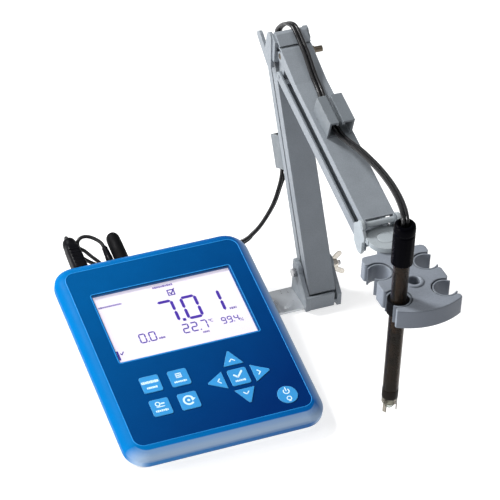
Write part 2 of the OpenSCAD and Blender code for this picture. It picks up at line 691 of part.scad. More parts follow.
// ---- cable clips: box channel with a slit along the middle -----------------
clip_w = 20.2;
clip_len = 27.4;
lower_clip_at = 82;                           // start of the clip along the lower bar
module clip(h) linear_extrude(clip_len) {
  left = -clip_w / 2;
  lip = clip_w * 0.36;                        // the left lip; the right one starts at slit
  slit = clip_w * 0.03;
  translate([left, 0]) square([clip_w, 1.5]);
  translate([left, 0]) square([1.6, h]);
  translate([clip_w / 2 - 1.6, 0]) square([1.6, h]);
  translate([left, h - 1.6]) square([lip, 1.6]);
  translate([slit, h - 1.6]) square([clip_w * 0.47, 1.6]);
  translate([left + lip - 1.4, h - 3.6]) square([1.4, 3]);
  translate([slit, h - 3.6]) square([1.4, 3]);
}
module upper_cable_clip() color(clip_color) along_upper(top_elbow)
  translate([0.8, -60.7, 2.6]) rotate([90, 0, 0]) clip(16.4);
module lower_cable_clip() color(clip_color) along_lower(rear_base)
  translate([-0.9, 3.6, lower_clip_at]) clip(17);

// ---- wrist: profiles in Y and Z from the upper wrist pivot -----------------
wrist_half = 15.6;
wrist_left = arm_x - wrist_half;
wrist_right = arm_x + wrist_half;
module wrist_outline() {
  circle(4.4);
  translate([0, -bar_gap]) circle(5);
  polygon([[4.2, 1.2], [10.6, -4.2], [8.6, -18.6], [2.6, -bar_gap - 4.9], [-3.6, -bar_gap - 4.2],
           [-5.6, -bar_gap + 8], [-8, -9.6], [-8, -5.6], [-4.2, -1.4]]);
}
module wrist_bracket() color(head_color) difference() {
  union() {
    cheeks(wrist_half, 2.4) translate(yz_of(top_wrist)) wrist_outline();
    // web between the cheeks
    yz(wrist_left + 1, wrist_right - 1) translate(yz_of(top_wrist))
      polygon([[-8, -9.6], [3.6, -9.6], [3.6, -8.2], [-6.4, -6.4], [-8, -5.6]]);
    // tongue
    translate([swivel[0], swivel[1], top_wrist[2] - 9.6]) linear_extrude(4) {
      circle(13.8);
      translate([-wrist_half + 1.2, 0]) square([2 * wrist_half - 2.4, swivel_reach - 6.4]);
    }
    // knob on the right cheek
    x_rod(3.2, wrist_right - 0.5, wrist_right + 1.8, top_wrist);
  }
  x_rod(wrist_bolt_r + 0.02, wrist_left - 1, wrist_right + 3, top_wrist);
  x_rod(pin_r + 0.02, wrist_left - 1, wrist_right + 3, bottom_wrist);
  // swivel hole, counterbored from above
  translate([swivel[0], swivel[1], top_wrist[2]]) {
    translate([0, 0, -20]) cylinder(r = 3.02, h = 30);
    translate([0, 0, -6.8]) cylinder(r = 6.7, h = 10);
  }
}
module wrist_pins() color([0.62, 0.65, 0.67]) {
  x_rod(wrist_bolt_r, wrist_left - 0.2, wrist_right + 1.6, top_wrist);
  cross_rod(pin_r, wrist_half - 0.1, bottom_wrist);
}
module swivel_pin() color(head_color) translate(swivel) {
  pin_z = fork_top - fork_thick - 0.9;
  translate([0, 0, pin_z]) cylinder(r = 3, h = fork_thick + 4.1);
  translate([0, 0, top_wrist[2] - 6.75]) cylinder(r = 6.5, h = 1.2);
  translate([0, 0, pin_z]) cylinder(r = 4.6, h = 1.4);
}

// ---- holder fork, measured from the swivel axis at the top face ------------
fork_half = 25.5;
fork_back = -11;                              // back edge of the wide part
module fork_outline() difference() {
  union() {
    // hub and its flared root
    circle(5.7);
    translate([-5.7, -10]) square([11.4, 10]);
    polygon([[-9, -14], [-9, -8], [-5.6, -5], [5.6, -5], [9, -8], [9, -14]]);
    // wide part with a rounded front
    intersection() {
      translate([-fork_half, front_slots - 30])
        square([2 * fork_half, fork_back - front_slots + 30]);
      union() {
        translate([0, -31.8]) circle(51.2, $fn = 128);
        translate([-30, -60]) square([60, 60]);
      }
      round_rect([-fork_half, front_slots - 28], [fork_half, fork_back], 4);
    }
  }
  for (side = [-1, 1], y = [rear_slots, front_slots]) translate([side * slot_x, y]) {
    circle(slot_r);
    // blunt ends of the prongs beside each mouth
    for (end = [-1, 1]) scale([side, end]) difference() {
      polygon([[3.905, 9.635], [7.02, 11.72], [8, 11.72], [8, 6], [6, 6]]);
      translate([4.75, 11.72]) circle(2.25);
    }
  }
}
// a springy C in each slot, open to the given side
module liner(side) difference() {
  cylinder(r = slot_r - 1, h = fork_thick - 0.6);
  translate([0, 0, -1]) cylinder(r = liner_r, h = fork_thick + 2);
  translate([0, 0, -1]) linear_extrude(fork_thick + 2)
    polygon([[0, 0], [side * 20, 18], [side * 20, -18]]);
}
// web that ties a liner to the fork low down
module liner_web(side) difference() {
  cylinder(r = slot_r + 0.3, h = 3.2);
  translate([0, 0, -1]) cylinder(r = liner_r, h = 6);
  translate([side == 1 ? 3.6 : -23.6, -20, -1]) cube([20, 40, 6]);
}
module electrode_holder() color(head_color)
  translate([swivel[0], swivel[1], fork_top]) difference() {
    union() {
      translate([0, 0, -fork_thick]) linear_extrude(fork_thick) fork_outline();
      for (side = [-1, 1], y = [rear_slots, front_slots])
        translate([side * slot_x, y, -fork_thick]) {
          liner(side);
          liner_web(side);
        }
      // raised collar round the centre hole
      translate([0, hole_y, -0.2]) cylinder(r = 7.2, h = 0.9);
    }
    translate([0, hole_y, -20]) cylinder(r = hole_r, h = 30);
    translate([0, 0, -20]) cylinder(r = 3.05, h = 30);
    // hollowed underside
    translate([-5, hole_y - 24, -fork_thick - 1]) cube([10, 14, fork_thick - 2.5]);
    // swivel counterbore under the hub
    translate([0, 0, -fork_thick - 2]) cylinder(r = 4.8, h = 2.6);
  }
module holder_ring() color([0.08, 0.08, 0.08]) translate(electrode) difference() {
  translate([0, 0, fork_top - 12]) cylinder(r = liner_r - 0.1, h = 11);
  translate([0, 0, fork_top - 20]) cylinder(r = body_r + 0.05, h = 30);
}

// ---- electrode: heights above the ground -----------------------------------
tip_z = 33;
body_z = 45;
cap_z = 169.5;
cap_top = 204;
stem_hole_r = 2.85;
module electrode_body() color([0.25, 0.2, 0.16, 0.7]) translate(electrode) difference() {
  translate([0, 0, body_z]) cylinder(r = body_r, h = cap_z - body_z + 4);
  translate([0, 0, body_z + 9]) cylinder(r = body_r - 0.9, h = cap_z - body_z);
  translate([0, 0, body_z - 1]) cylinder(r = stem_hole_r, h = 12);
}
module guard_collar() color([0.3, 0.25, 0.2, 0.8]) translate(electrode) difference() {
  translate([0, 0, tip_z]) cylinder(r = body_r, h = body_z - 0.05 - tip_z);
  translate([0, 0, tip_z - 1]) cylinder(r = body_r - 1.1, h = body_z - tip_z - 2);
  translate([0, 0, tip_z]) cylinder(r = stem_hole_r, h = 20);
  // three windows between the guard prongs
  for (a = [30, 150, 270])
    rotate([0, 0, a]) translate([0, -4.1, tip_z - 1]) cube([10, 8.2, 8.4]);
}
module glass_bulb() color([0.85, 0.88, 0.86, 0.5]) translate(electrode) {
  translate([0, 0, tip_z + 5.2]) sphere(r = 3.9);
  translate([0, 0, tip_z + 7]) cylinder(r = 2.8, h = 22);
}
module inner_tube() color([0.6, 0.5, 0.4, 0.6]) translate(electrode)
  translate([0, 0, tip_z + 29.2]) cylinder(r = 2.6, h = 96);
module reference_element() color([0.12, 0.08, 0.06]) translate(electrode) difference() {
  translate([0, 0, 98]) cylinder(r = 4.9, h = 8);
  translate([0, 0, 90]) cylinder(r = 2.65, h = 30);
}
module electrode_cap() color([0.06, 0.06, 0.07]) translate(electrode) difference() {
  union() {
    translate([0, 0, cap_z]) cylinder(r = cap_r, h = 25);
    translate([0, 0, cap_z + 25]) cylinder(r1 = cap_r, r2 = cap_r - 0.9, h = 4.5);
    translate([0, 0, cap_z + 29.5])
      cylinder(r1 = cap_r - 0.9, r2 = cap_r - 2.2, h = cap_top - cap_z - 29.5);
  }
  translate([0, 0, cap_z - 1]) cylinder(r = body_r + 0.02, h = 5.05);
  translate([0, 0, cap_top - 6]) cylinder(r = 3.9, h = 8);
}

// ---- leads: smooth tubes through spline points -----------------------------
lead_r = 1.5;
lead_sides = 10;
lead_steps = 4;                               // rings per stretch between two points

// Catmull-Rom spline between b and c
function spline(a, b, c, d, t) =
  0.5 * (2 * b + (c - a) * t + (2 * a - 5 * b + 4 * c - d) * t * t
         + (3 * b - a - 3 * c + d) * t * t * t);
function smooth_path(p) = let (last = len(p) - 1) concat(
  [for (i = [0:last - 1], j = [0:lead_steps - 1])
    spline(p[max(i - 1, 0)], p[i], p[i + 1], p[min(i + 2, last)], j / lead_steps)],
  [p[last]]);
function unit(v) = v / norm(v);
// ring round a point; its side direction stays close to X, so that rings never twist
function ring(center, dir) =
  let (ref = abs(dir[0]) < 0.92 ? [1, 0, 0] : [0, 1, 0],
       b = unit(cross(dir, ref)),
       a = cross(b, dir))
  [for (j = [0:lead_sides - 1])
    let (angle = j * 360 / lead_sides) center + lead_r * (cos(angle) * a + sin(angle) * b)];
module lead(points) {
  path = smooth_path(points);
  last = len(path) - 1;
  k = lead_sides;
  rings = [for (i = [0:last])
    each ring(path[i], unit(path[min(i + 1, last)] - path[max(i - 1, 0)]))];
  faces = concat(
    [[for (j = [0:k - 1]) j]],
    [[for (j = [k - 1:-1:0]) last * k + j]],
    [for (i = [0:last - 1], j = [0:k - 1])
      let (a = i * k + j, b = i * k + (j + 1) % k) each [[a, a + k, b + k], [a, b + k, b]]]);
  polyhedron(points = rings, faces = faces);
}
// a point given in the panel frame
function panel_point(p) = [
  p[0],
  display_y + p[1] * cos(tilt) - p[2] * sin(tilt),
  display_z + p[1] * sin(tilt) + p[2] * cos(tilt)];
// points given by x from the arm plane, height off the bar and distance along it
function lower_point(x, off, s) = rear_base + [x, 0, 0] + s * lower_dir + off * lower_normal;
function upper_point(x, off, s) = top_elbow + [x, 0, 0] + s * upper_dir + off * upper_normal;

// lead of the BNC plug: along the back of the case, then over to the arm
bnc_lead_case = [
  [-49.6, 108.2, -19.5], [-49.6, 110.6, -20.8], [-48.6, 110.4, -25], [-45, 105, -30.5],
  [-39, 96, -33.5], [-30, 88, -35.5], [-12, 83, -37], [20, 80, -39.5], [58, 76, -38]];
bnc_lead_free = [
  [84, 97.5, 38.5], [93, 97.9, 43.2], [102, 99.6, 50.7], [113, 104.5, 63.3], [122, 113, 76]];
// lead of the temperature plug: a loop first, then the same way
temp_lead_case = [
  [-24.2, 93.3, -19.5], [-26, 97.8, -18.9], [-30.2, 102.8, -18.8], [-34.5, 105.5, -18.9],
  [-38.8, 105.7, -19.2], [-42, 103.8, -20.4], [-42.6, 101.2, -23.2], [-40.8, 100.7, -26],
  [-37.8, 97.3, -26.4], [-35, 92.2, -26.8], [-31.5, 87, -27.6], [-26, 81, -29.5],
  [-10, 77, -36], [20, 74, -43], [60, 74, -43]];
temp_lead_free = [
  [86.5, 100, 34.5], [95, 101, 40], [104, 102.8, 48], [115.5, 107.8, 60.8], [124.8, 116, 73.4]];
module meter_lead(case_points, free_points, x, off)
  lead(concat([for (p = case_points) panel_point(p)], free_points,
              [lower_point(x, off, lower_clip_at - 1.8)]));
module lead_meter() color(lead_color) {
  meter_lead(bnc_lead_case, bnc_lead_free, -6.7, 18.6);
  meter_lead(temp_lead_case, temp_lead_free, -3.2, 16.4);
}

// both leads on the lower bar: x, height off the bar, distance from the clip start
lower_leads = [
  [[-6.8, 16.4, 0.6], [-6.4, 14.4, 10], [-5.2, 11.5, 20], [-3.4, 8.8, 30],
   [-0.6, 6.4, 44], [1.2, 5.6, 63]],
  [[-3.2, 14.6, 0.6], [-3, 12.6, 10], [-2, 10, 20], [-0.2, 8, 30],
   [2.6, 6.4, 44], [4.3, 5.6, 63]]];
lead_x = [1.35, 4.45];                        // both leads where they cross the elbow
module lead_lower() color(lead_color) for (i = [0, 1])
  lead(concat([for (p = lower_leads[i]) lower_point(p[0], p[1], lower_clip_at + p[2])],
              [lower_point(lead_x[i], 6.4, lower_len - 10)]));

// arch over the elbow: y, z from the front lower pivot
arch = [[22.4, 11.6], [17.2, 20.3], [7, 28.9], [-3.4, 33.8], [-10.8, 33.4], [-18.6, 30.4],
        [-28.9, 26.2]];
module lead_elbow() color(lead_color) for (x = lead_x)
  lead(concat(
    [lower_point(x, 6.4, lower_len - 7.5), lower_point(x, 7, lower_len + 1)],
    [for (p = arch) front_elbow + [x, p[0], p[1]]],
    [upper_point(x, 9.9, 16.9), upper_point(x, 5.6, 30), upper_point(x - 0.15, 4.3, 42),
     upper_point(x - 1.75, 5.4, 52), upper_point(x - 3.55, 6.6, 60)]));

// Bezier control points from the upper clip down into the electrode cap
drop_control = [
  [131.5, 33.5, 175],
  [141.1, -50.3, 191.6],
  [electrode[0], electrode[1], cap_top + 9.6],
  [electrode[0], electrode[1], cap_top]];
function drop_point(t) =
  pow(1 - t, 3) * drop_control[0] + 3 * pow(1 - t, 2) * t * drop_control[1]
  + 3 * (1 - t) * t * t * drop_control[2] + t * t * t * drop_control[3];
module lead_drop() color(lead_color) for (x = [-1.6, 1.6])
  lead(concat(
    [upper_point(-0.8 + x, 6.8, 62.5), upper_point(-0.9 + x, 7, 75)],
    [for (t = [0.02, 0.14, 0.28, 0.42, 0.56, 0.7, 0.82, 0.92, 1]) drop_point(t) + [x, 0, 0]],
    [[electrode[0] + x, electrode[1], cap_top - 5.6]]));

top_shell();
keypad_overlay();
lcd_window();
lcd_segments();
lcd_glass();
lcd_backlight();
dome_sheet();
main_pcb();
base_shell();
case_screws();
pcb_screws();
rubber_feet();
key_1();
key_2();
key_3();
key_4();
key_up();
key_down();
key_left();
key_right();
key_enter();
key_power();
bnc_jack();
temp_jack();
aux_jack();
power_jack();
bnc_plug();
temp_plug();
aux_cap();
base_plate();
arm_bracket();
bracket_screws();
base_bolt();
base_wing_nut();
base_front_pin();
lower_front_bar();
lower_rear_bar();
elbow_head();
elbow_pins();
elbow_bolt();
elbow_nut();
upper_top_bar();
upper_bottom_bar();
wrist_bracket();
wrist_pins();
swivel_pin();
electrode_holder();
holder_ring();
electrode_cap();
electrode_body();
inner_tube();
reference_element();
glass_bulb();
guard_collar();
lower_cable_clip();
upper_cable_clip();
lead_meter();
lead_lower();
lead_elbow();
lead_drop();
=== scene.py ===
"""Bench meter with a jointed arm that holds an electrode.

Z is up and -Y is the front. The meter's panel slopes up towards the back. The arm stands to
its right (+X): the lower bars lean back to an elbow, and the upper bars slope down towards
the front, where the electrode hangs. Sizes are in millimetres unless a comment says metres.
"""
import bpy, bmesh, math
from mathutils import Vector, Matrix


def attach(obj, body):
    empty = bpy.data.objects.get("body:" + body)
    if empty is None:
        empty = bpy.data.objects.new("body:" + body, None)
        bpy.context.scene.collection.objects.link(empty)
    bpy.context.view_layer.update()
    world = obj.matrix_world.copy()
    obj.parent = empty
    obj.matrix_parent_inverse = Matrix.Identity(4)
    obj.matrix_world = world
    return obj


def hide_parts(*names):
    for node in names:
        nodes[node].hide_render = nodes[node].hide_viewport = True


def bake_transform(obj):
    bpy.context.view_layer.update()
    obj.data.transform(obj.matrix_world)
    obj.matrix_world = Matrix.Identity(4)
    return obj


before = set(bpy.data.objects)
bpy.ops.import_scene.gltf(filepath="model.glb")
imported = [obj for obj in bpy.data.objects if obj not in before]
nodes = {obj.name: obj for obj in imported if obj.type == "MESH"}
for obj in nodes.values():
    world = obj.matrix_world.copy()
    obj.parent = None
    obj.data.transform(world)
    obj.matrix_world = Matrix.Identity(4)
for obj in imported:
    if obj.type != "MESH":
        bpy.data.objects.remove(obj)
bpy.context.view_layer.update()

MM = 0.001

# ------------------------------------------------------------------ driving dimensions
PANEL_TILT = math.radians(12.73)
PANEL_Y, PANEL_Z = 24.7, 44.1            # panel origin
ARM_X = 132.5
FRONT_FOOT = Vector((ARM_X, 53.5, 22.0))  # lower ends of the two lower bars
REAR_FOOT = Vector((ARM_X, 64.0, 23.3))
LOWER_LENGTH, LOWER_LEAN = 175, math.radians(28.75)   # lean back from upright
UPPER_LENGTH, UPPER_DROP = 170.5, math.radians(15.4)  # drop below level
LOWER_Y, LOWER_Z = math.sin(LOWER_LEAN), math.cos(LOWER_LEAN)
UPPER_Y, UPPER_Z = math.cos(UPPER_DROP), math.sin(UPPER_DROP)
ELBOW = FRONT_FOOT + LOWER_LENGTH * Vector((0, LOWER_Y, LOWER_Z))
UPPER_START = ELBOW + Vector((0, -17.4, 16.8))
UPPER_END = UPPER_START + UPPER_LENGTH * Vector((0, -UPPER_Y, -UPPER_Z))
SWIVEL_Y = UPPER_END.y - 12.2
HOLE_Y = SWIVEL_Y - 49.1
SWIVEL_TOP = UPPER_END.z - 5.6
HOLDER_TOP = UPPER_END.z - 9.9
ELECTRODE_X, ELECTRODE_Y = ARM_X - 18.5, SWIVEL_Y - 62.7
CAP_TOP, CAP_HEIGHT = 204.0, 34.5
CLIP = 82.0                              # cable clip's distance up the rear bar


def panel_point(u, v, w):
    """u to the right, v up the slope, w out of the panel."""
    c, s = math.cos(PANEL_TILT), math.sin(PANEL_TILT)
    return Vector((u, PANEL_Y + v * c - w * s, PANEL_Z + v * s + w * c))


def rear_bar_point(x, out, along):
    """out is behind the lower rear bar, along is up it from its foot."""
    return REAR_FOOT + Vector((x, along * LOWER_Y + out * LOWER_Z,
                               along * LOWER_Z - out * LOWER_Y))


def top_bar_point(x, out, along):
    """out is above the upper top bar, along is down it from the elbow end."""
    return UPPER_START + Vector((x, -along * UPPER_Y - out * UPPER_Z,
                                 -along * UPPER_Z + out * UPPER_Y))


# ------------------------------------------------------------------ shader graphs
def linear(colour):
    """sRGB 0-255 to linear RGBA."""
    out = []
    for x in colour:
        x = x / 255.0
        out.append(x / 12.92 if x <= 0.04045 else ((x + 0.055) / 1.055) ** 2.4)
    return (*out, 1.0)


class Graph:
    """A new material, with short ways to add nodes to it."""

    def __init__(self, name):
        self.material = bpy.data.materials.new(name)
        self.material.use_nodes = True
        self.tree = self.material.node_tree
        self.tree.nodes.clear()
        self.output = self.node("ShaderNodeOutputMaterial")

    def node(self, kind, inputs=(), **props):
        """inputs maps a socket's name or index to a value or to the socket that feeds it."""
        node = self.tree.nodes.new(kind)
        for name, value in props.items():
            setattr(node, name, value)
        for key, value in dict(inputs).items():
            if isinstance(value, bpy.types.NodeSocket):
                self.tree.links.new(value, node.inputs[key])
            else:
                node.inputs[key].default_value = value
        return node

    def finish(self, shader):
        self.tree.links.new(shader.outputs[0], self.output.inputs["Surface"])
        return self.material

    def mix(self, factor, first, second, mode="MIX"):
        return self.node("ShaderNodeMix", {0: factor, 6: first, 7: second},
                         data_type="RGBA", blend_type=mode).outputs[2]

    def remap(self, value, source, target):
        """Map the source range to the target range."""
        inputs = dict(enumerate((value, *source, *target)))
        return self.node("ShaderNodeMapRange", inputs).outputs[0]

    def math(self, operation, first, second):
        return self.node("ShaderNodeMath", {0: first, 1: second}, operation=operation).outputs[0]

    def axes(self, space):
        """The x, y and z sockets of a texture coordinate."""
        vector = self.node("ShaderNodeTexCoord").outputs[space]
        return self.node("ShaderNodeSeparateXYZ", {0: vector}).outputs

    def noise(self, scale, detail=3.0, rough=0.55, stretch=None):
        vector = self.node("ShaderNodeTexCoord").outputs["Object"]
        if stretch:
            mapping = self.node("ShaderNodeMapping", {"Vector": vector, "Scale": stretch})
            vector = mapping.outputs["Vector"]
        return self.node("ShaderNodeTexNoise", {
            "Vector": vector, "Scale": scale, "Detail": detail, "Roughness": rough,
        }).outputs["Fac"]

    def shade(self, colour, factor):
        """Multiply a colour by a grey level."""
        grey = self.node("ShaderNodeCombineColor", {0: factor, 1: factor, 2: factor})
        return self.mix(1.0, colour, grey.outputs[0], "MULTIPLY")


NOISE_RANGE = (0.3, 0.7)   # the part of broad noise that is used


def edge_highlight_and_wear(graph, colour, edge, amount, rounded_normal):
    """Paint patches of the edge colour where the bevelled and true normals differ: painted
    highlights along rounded edges, broken into wear-like patches.
    """
    normal = graph.node("ShaderNodeNewGeometry").outputs["Normal"]
    dot = graph.node("ShaderNodeVectorMath", {0: rounded_normal, 1: normal},
                     operation="DOT_PRODUCT").outputs["Value"]
    on_edge = graph.remap(dot, (0.998, 0.88), (0.0, 1.0))
    patches = graph.remap(graph.noise(220), (0.38, 0.6), (0.25, 1.0))
    worn = graph.math("MULTIPLY", on_edge, patches)
    return graph.mix(graph.math("MULTIPLY", worn, amount), colour, linear(edge))


def painted_sheen_and_shade(graph, colour, painted_facing_colour, amount, roll):
    """Tint faces turned to the front and right, fading to roll when squarely turned: a painted
    sheen on the case's front and right bevels, and painted shade on the front faces of the arm,
    clips and holder.
    """
    x, y, _ = graph.axes("Normal")
    turned = graph.math("MAXIMUM", graph.math("MULTIPLY", y, -1.0), x)
    rise = graph.remap(turned, (0.3, 0.75), (0.0, amount))
    fall = graph.remap(turned, (0.86, 0.985), (1.0, roll))
    return graph.mix(graph.math("MULTIPLY", rise, fall), colour, linear(painted_facing_colour))


def material(name, base, rough=0.45, rough_amt=0.12, metal=0.0, spec=0.35, alpha=1.0, bevel=0.5,
             grain=1800, stretch=None, bump=0.12, bump_mm=0.05, tone=45, tone_amt=0.16,
             edge=None, edge_amt=0.5, blend=None, painted_facing_colour=None, painted_facing_amount=0.5, painted_facing_roll=1.0,
             glow=None, glow_amt=0.0):
    """Opaque moulding, paint or metal. Colours are sRGB 0-255.

    grain, stretch, bump and bump_mm set the fine speckle and its relief; tone and tone_amt
    the broad tone changes; bevel the rounding of edges in mm; rough_amt the roughness swing.
    blend is a second colour and the function that makes its factor. The edge colour is a painted
    highlight along rounded edges, in wear-like patches; the facing colour is a painted sheen or
    painted shade on faces turned to the front and right; the glow colour glows. Each has an
    amount.
    """
    graph = Graph(name)
    colour = linear(base)
    if blend:
        second, factor = blend
        colour = graph.mix(factor(graph), linear(base), linear(second))
    broad = graph.remap(graph.noise(tone), NOISE_RANGE, (1.0 - tone_amt, 1.0 + tone_amt))
    colour = graph.shade(colour, broad)
    fine = graph.noise(grain, detail=2.0, rough=0.6, stretch=stretch)
    colour = graph.shade(colour, graph.remap(fine, (0.35, 0.65), (0.93, 1.07)))
    rounded = graph.node("ShaderNodeBevel", {"Radius": bevel * MM}, samples=4).outputs[0]
    # lighter edge colour: painted highlights along rounded edges, in wear-like patches
    if edge is not None:
        colour = edge_highlight_and_wear(graph, colour, edge, edge_amt, rounded)
    # painted sheen or painted shade on faces turned to the front and right
    if painted_facing_colour is not None:
        colour = painted_sheen_and_shade(graph, colour, painted_facing_colour, painted_facing_amount, painted_facing_roll)
    rough_range = (max(0.03, rough - rough_amt), min(1.0, rough + rough_amt))
    inputs = {
        "Base Color": colour,
        "Roughness": graph.remap(graph.noise(tone * 4), NOISE_RANGE, rough_range),
        "Metallic": metal, "Specular IOR Level": spec, "IOR": 1.45,
        "Coat Roughness": 0.1, "Alpha": alpha,
        "Normal": graph.node("ShaderNodeBump", {
            "Strength": bump, "Distance": bump_mm * MM, "Height": fine, "Normal": rounded,
        }).outputs[0],
    }
    if glow is not None:
        inputs.update({"Emission Color": linear(glow), "Emission Strength": glow_amt})
    return graph.finish(graph.node("ShaderNodeBsdfPrincipled", inputs))


def clear_plastic(name, tint, density, rough=0.12, edge=(40, 60, 96), spec=0.6, rise=0.8):
    """See-through where it faces the viewer, denser by rise and shinier towards its edges."""
    graph = Graph(name)
    through = graph.node("ShaderNodeBsdfTransparent", {0: linear(tint)})
    facing = graph.node("ShaderNodeLayerWeight", {"Blend": 0.42}).outputs["Facing"]
    body = graph.mix(graph.remap(facing, (0.35, 0.95), (0.0, 1.0)),
                     linear([c * 0.3 for c in tint]), linear(edge))
    body = graph.shade(body, graph.remap(graph.noise(90), NOISE_RANGE, (0.85, 1.15)))
    surface = graph.node("ShaderNodeBsdfPrincipled", {
        "Base Color": body,
        "Specular IOR Level": spec,
        "Roughness": graph.remap(graph.noise(260, detail=2.0), NOISE_RANGE,
                                 (max(0.03, rough - 0.05), rough + 0.08)),
        "Normal": graph.node("ShaderNodeBump", {
            "Strength": 0.05, "Distance": 0.04 * MM, "Height": graph.noise(1500, detail=2.0),
        }).outputs[0],
    })
    cover = graph.remap(facing, (0.3, 0.85), (density, min(1.0, density + rise)))
    return graph.finish(graph.node("ShaderNodeMixShader", {
        0: cover, 1: through.outputs[0], 2: surface.outputs[0]}))


def panel_blend(graph):
    """Rises towards the right and the front."""
    x, y, _ = graph.axes("Object")
    across = graph.math("MULTIPLY", x, 3.4)
    down = graph.math("MULTIPLY", y, -4.2)
    return graph.remap(graph.math("ADD", across, down), (-0.45, 0.45), (0.0, 1.0))


def case_painted_shade_blend(graph):
    """Painted shade: rises from left to right, darkening the case away from the lamps on its
    left; the range is in metres.
    """
    return graph.remap(graph.axes("Object")[0], (-0.075, 0.08), (0.0, 1.0))


# ------------------------------------------------------------------ materials
# case, panel and display
# painted light on the case: darker to the right (painted shade), a pale painted reflection on
# the front and right bevels, painted highlights on its edges
case_blue = material(
    "case_blue", (0, 103, 168), rough=0.38, rough_amt=0.06, spec=0.03, bevel=1.6, bump=0.05,
    tone_amt=0.04, edge=(60, 150, 215), edge_amt=0.18, blend=((0, 78, 144), case_painted_shade_blend),
    painted_facing_colour=(154, 176, 202), painted_facing_amount=0.93, painted_facing_roll=0.05)
panel_film = material(
    "panel_film", (0, 78, 136), rough=0.5, rough_amt=0.06, spec=0.03, bevel=0.25, grain=2600,
    bump=0.06, tone_amt=0.04, edge=(40, 130, 200), blend=((0, 40, 98), panel_blend))
# painted highlight: a lighter blue for the light caught along the rims of the panel and the
# display
panel_rim_highlight = material("panel_rim_highlight", (26, 128, 200), rough=0.35, spec=0.2, bevel=0.2,
                      tone_amt=0.06)
key_blue = material("key_blue", (52, 142, 204), rough=0.5, spec=0.15, bump=0.08, tone_amt=0.05,
                    edge=(130, 200, 240), edge_amt=0.7)
key_print = material("key_print", (206, 232, 250), rough=0.6, bevel=0.1, tone_amt=0.06)
display_cell = material("display_cell", (232, 226, 232), spec=0.05, bevel=0.1, grain=3500,
                        bump=0.02, tone_amt=0.03, glow=(236, 228, 236), glow_amt=0.55)
display_ink = material("display_ink", (82, 48, 178), rough=0.6, bevel=0.05, tone_amt=0.06)
display_ink_light = material("display_ink_light", (140, 122, 190), rough=0.6, bevel=0.05,
                             tone_amt=0.06)
case_grey = material("case_grey", (214, 217, 222), rough=0.55, bevel=0.9, grain=1500, bump=0.2,
                     tone_amt=0.05, edge=(240, 240, 240), edge_amt=0.4)

# grey mouldings of the arm
# arm_grey, clip_grey and holder_grey darken faces turned to the front with their facing colour:
# painted shade, away from the lamps
arm_grey = material(
    "arm_grey", (127, 133, 139), rough=0.46, spec=0.3, bevel=0.75, grain=1300, bump=0.16,
    bump_mm=0.06, tone=60, tone_amt=0.06, edge=(168, 176, 182), edge_amt=0.6,
    painted_facing_colour=(120, 125, 132), painted_facing_amount=0.3)
clip_grey = material(
    "clip_grey", (106, 112, 117), spec=0.3, bevel=0.8, grain=1300, bump=0.14, tone_amt=0.06,
    edge=(152, 160, 165), edge_amt=0.6, painted_facing_colour=(84, 88, 94), painted_facing_amount=0.4)
# painted light: a lighter copy of the arm's grey, standing for the light falling on the wrist
# bracket, pins and swivel
wrist_grey_painted_lit = material(
    "wrist_grey_painted_lit", (154, 161, 165), rough=0.46, spec=0.3, bevel=0.9, grain=1300, bump=0.16,
    bump_mm=0.06, tone=60, tone_amt=0.06, edge=(184, 192, 196))
holder_grey = material(
    "holder_grey", (124, 130, 139), rough=0.42, spec=0.3, bevel=1.6, grain=1200, bump=0.16,
    tone_amt=0.06, edge=(156, 166, 174), painted_facing_colour=(84, 90, 100), painted_facing_amount=0.75)

# steel and chrome
plate_steel = material(
    "plate_steel", (196, 200, 204), rough=0.36, metal=0.75, bevel=0.3, grain=900, bump=0.1,
    stretch=(1, 14, 14), tone_amt=0.08, edge=(235, 235, 235), edge_amt=0.7)
pin_steel = material("pin_steel", (172, 172, 174), rough=0.28, metal=1.0, bevel=0.2, bump=0.1,
                     stretch=(12, 1, 1), tone_amt=0.1, edge=(235, 235, 235))
bolt_steel = material(
    "bolt_steel", (104, 96, 84), rough=0.34, metal=1.0, bevel=0.25, grain=1500, bump=0.2,
    stretch=(12, 1, 1), tone_amt=0.15, edge=(190, 184, 168))
wing_chrome = material("wing_chrome", (214, 208, 198), rough=0.16, metal=1.0, grain=900,
                       bump=0.08, tone_amt=0.08, edge=(255, 252, 245))

# black plugs, rubber, leads and cap
plug_black = material("plug_black", (9, 9, 13), rough=0.42, spec=0.07, bevel=0.8, grain=1500,
                      bump=0.22, tone_amt=0.12, edge=(52, 54, 66), edge_amt=0.4)
rubber_black = material("rubber_black", (8, 8, 10), rough=0.6, spec=0.08, bevel=0.8, grain=1100,
                        bump=0.3, tone_amt=0.14, edge=(46, 48, 52), edge_amt=0.4)
lead_black = material("lead_black", (18, 18, 20), rough=0.36, spec=0.42, bevel=0.2, grain=2200,
                      tone_amt=0.1)
cap_black = material("cap_black", (3, 3, 6), rough=0.34, spec=0.02, bevel=0.9, grain=1600,
                     bump=0.1, tone_amt=0.1, edge=(26, 28, 38), edge_amt=0.3)

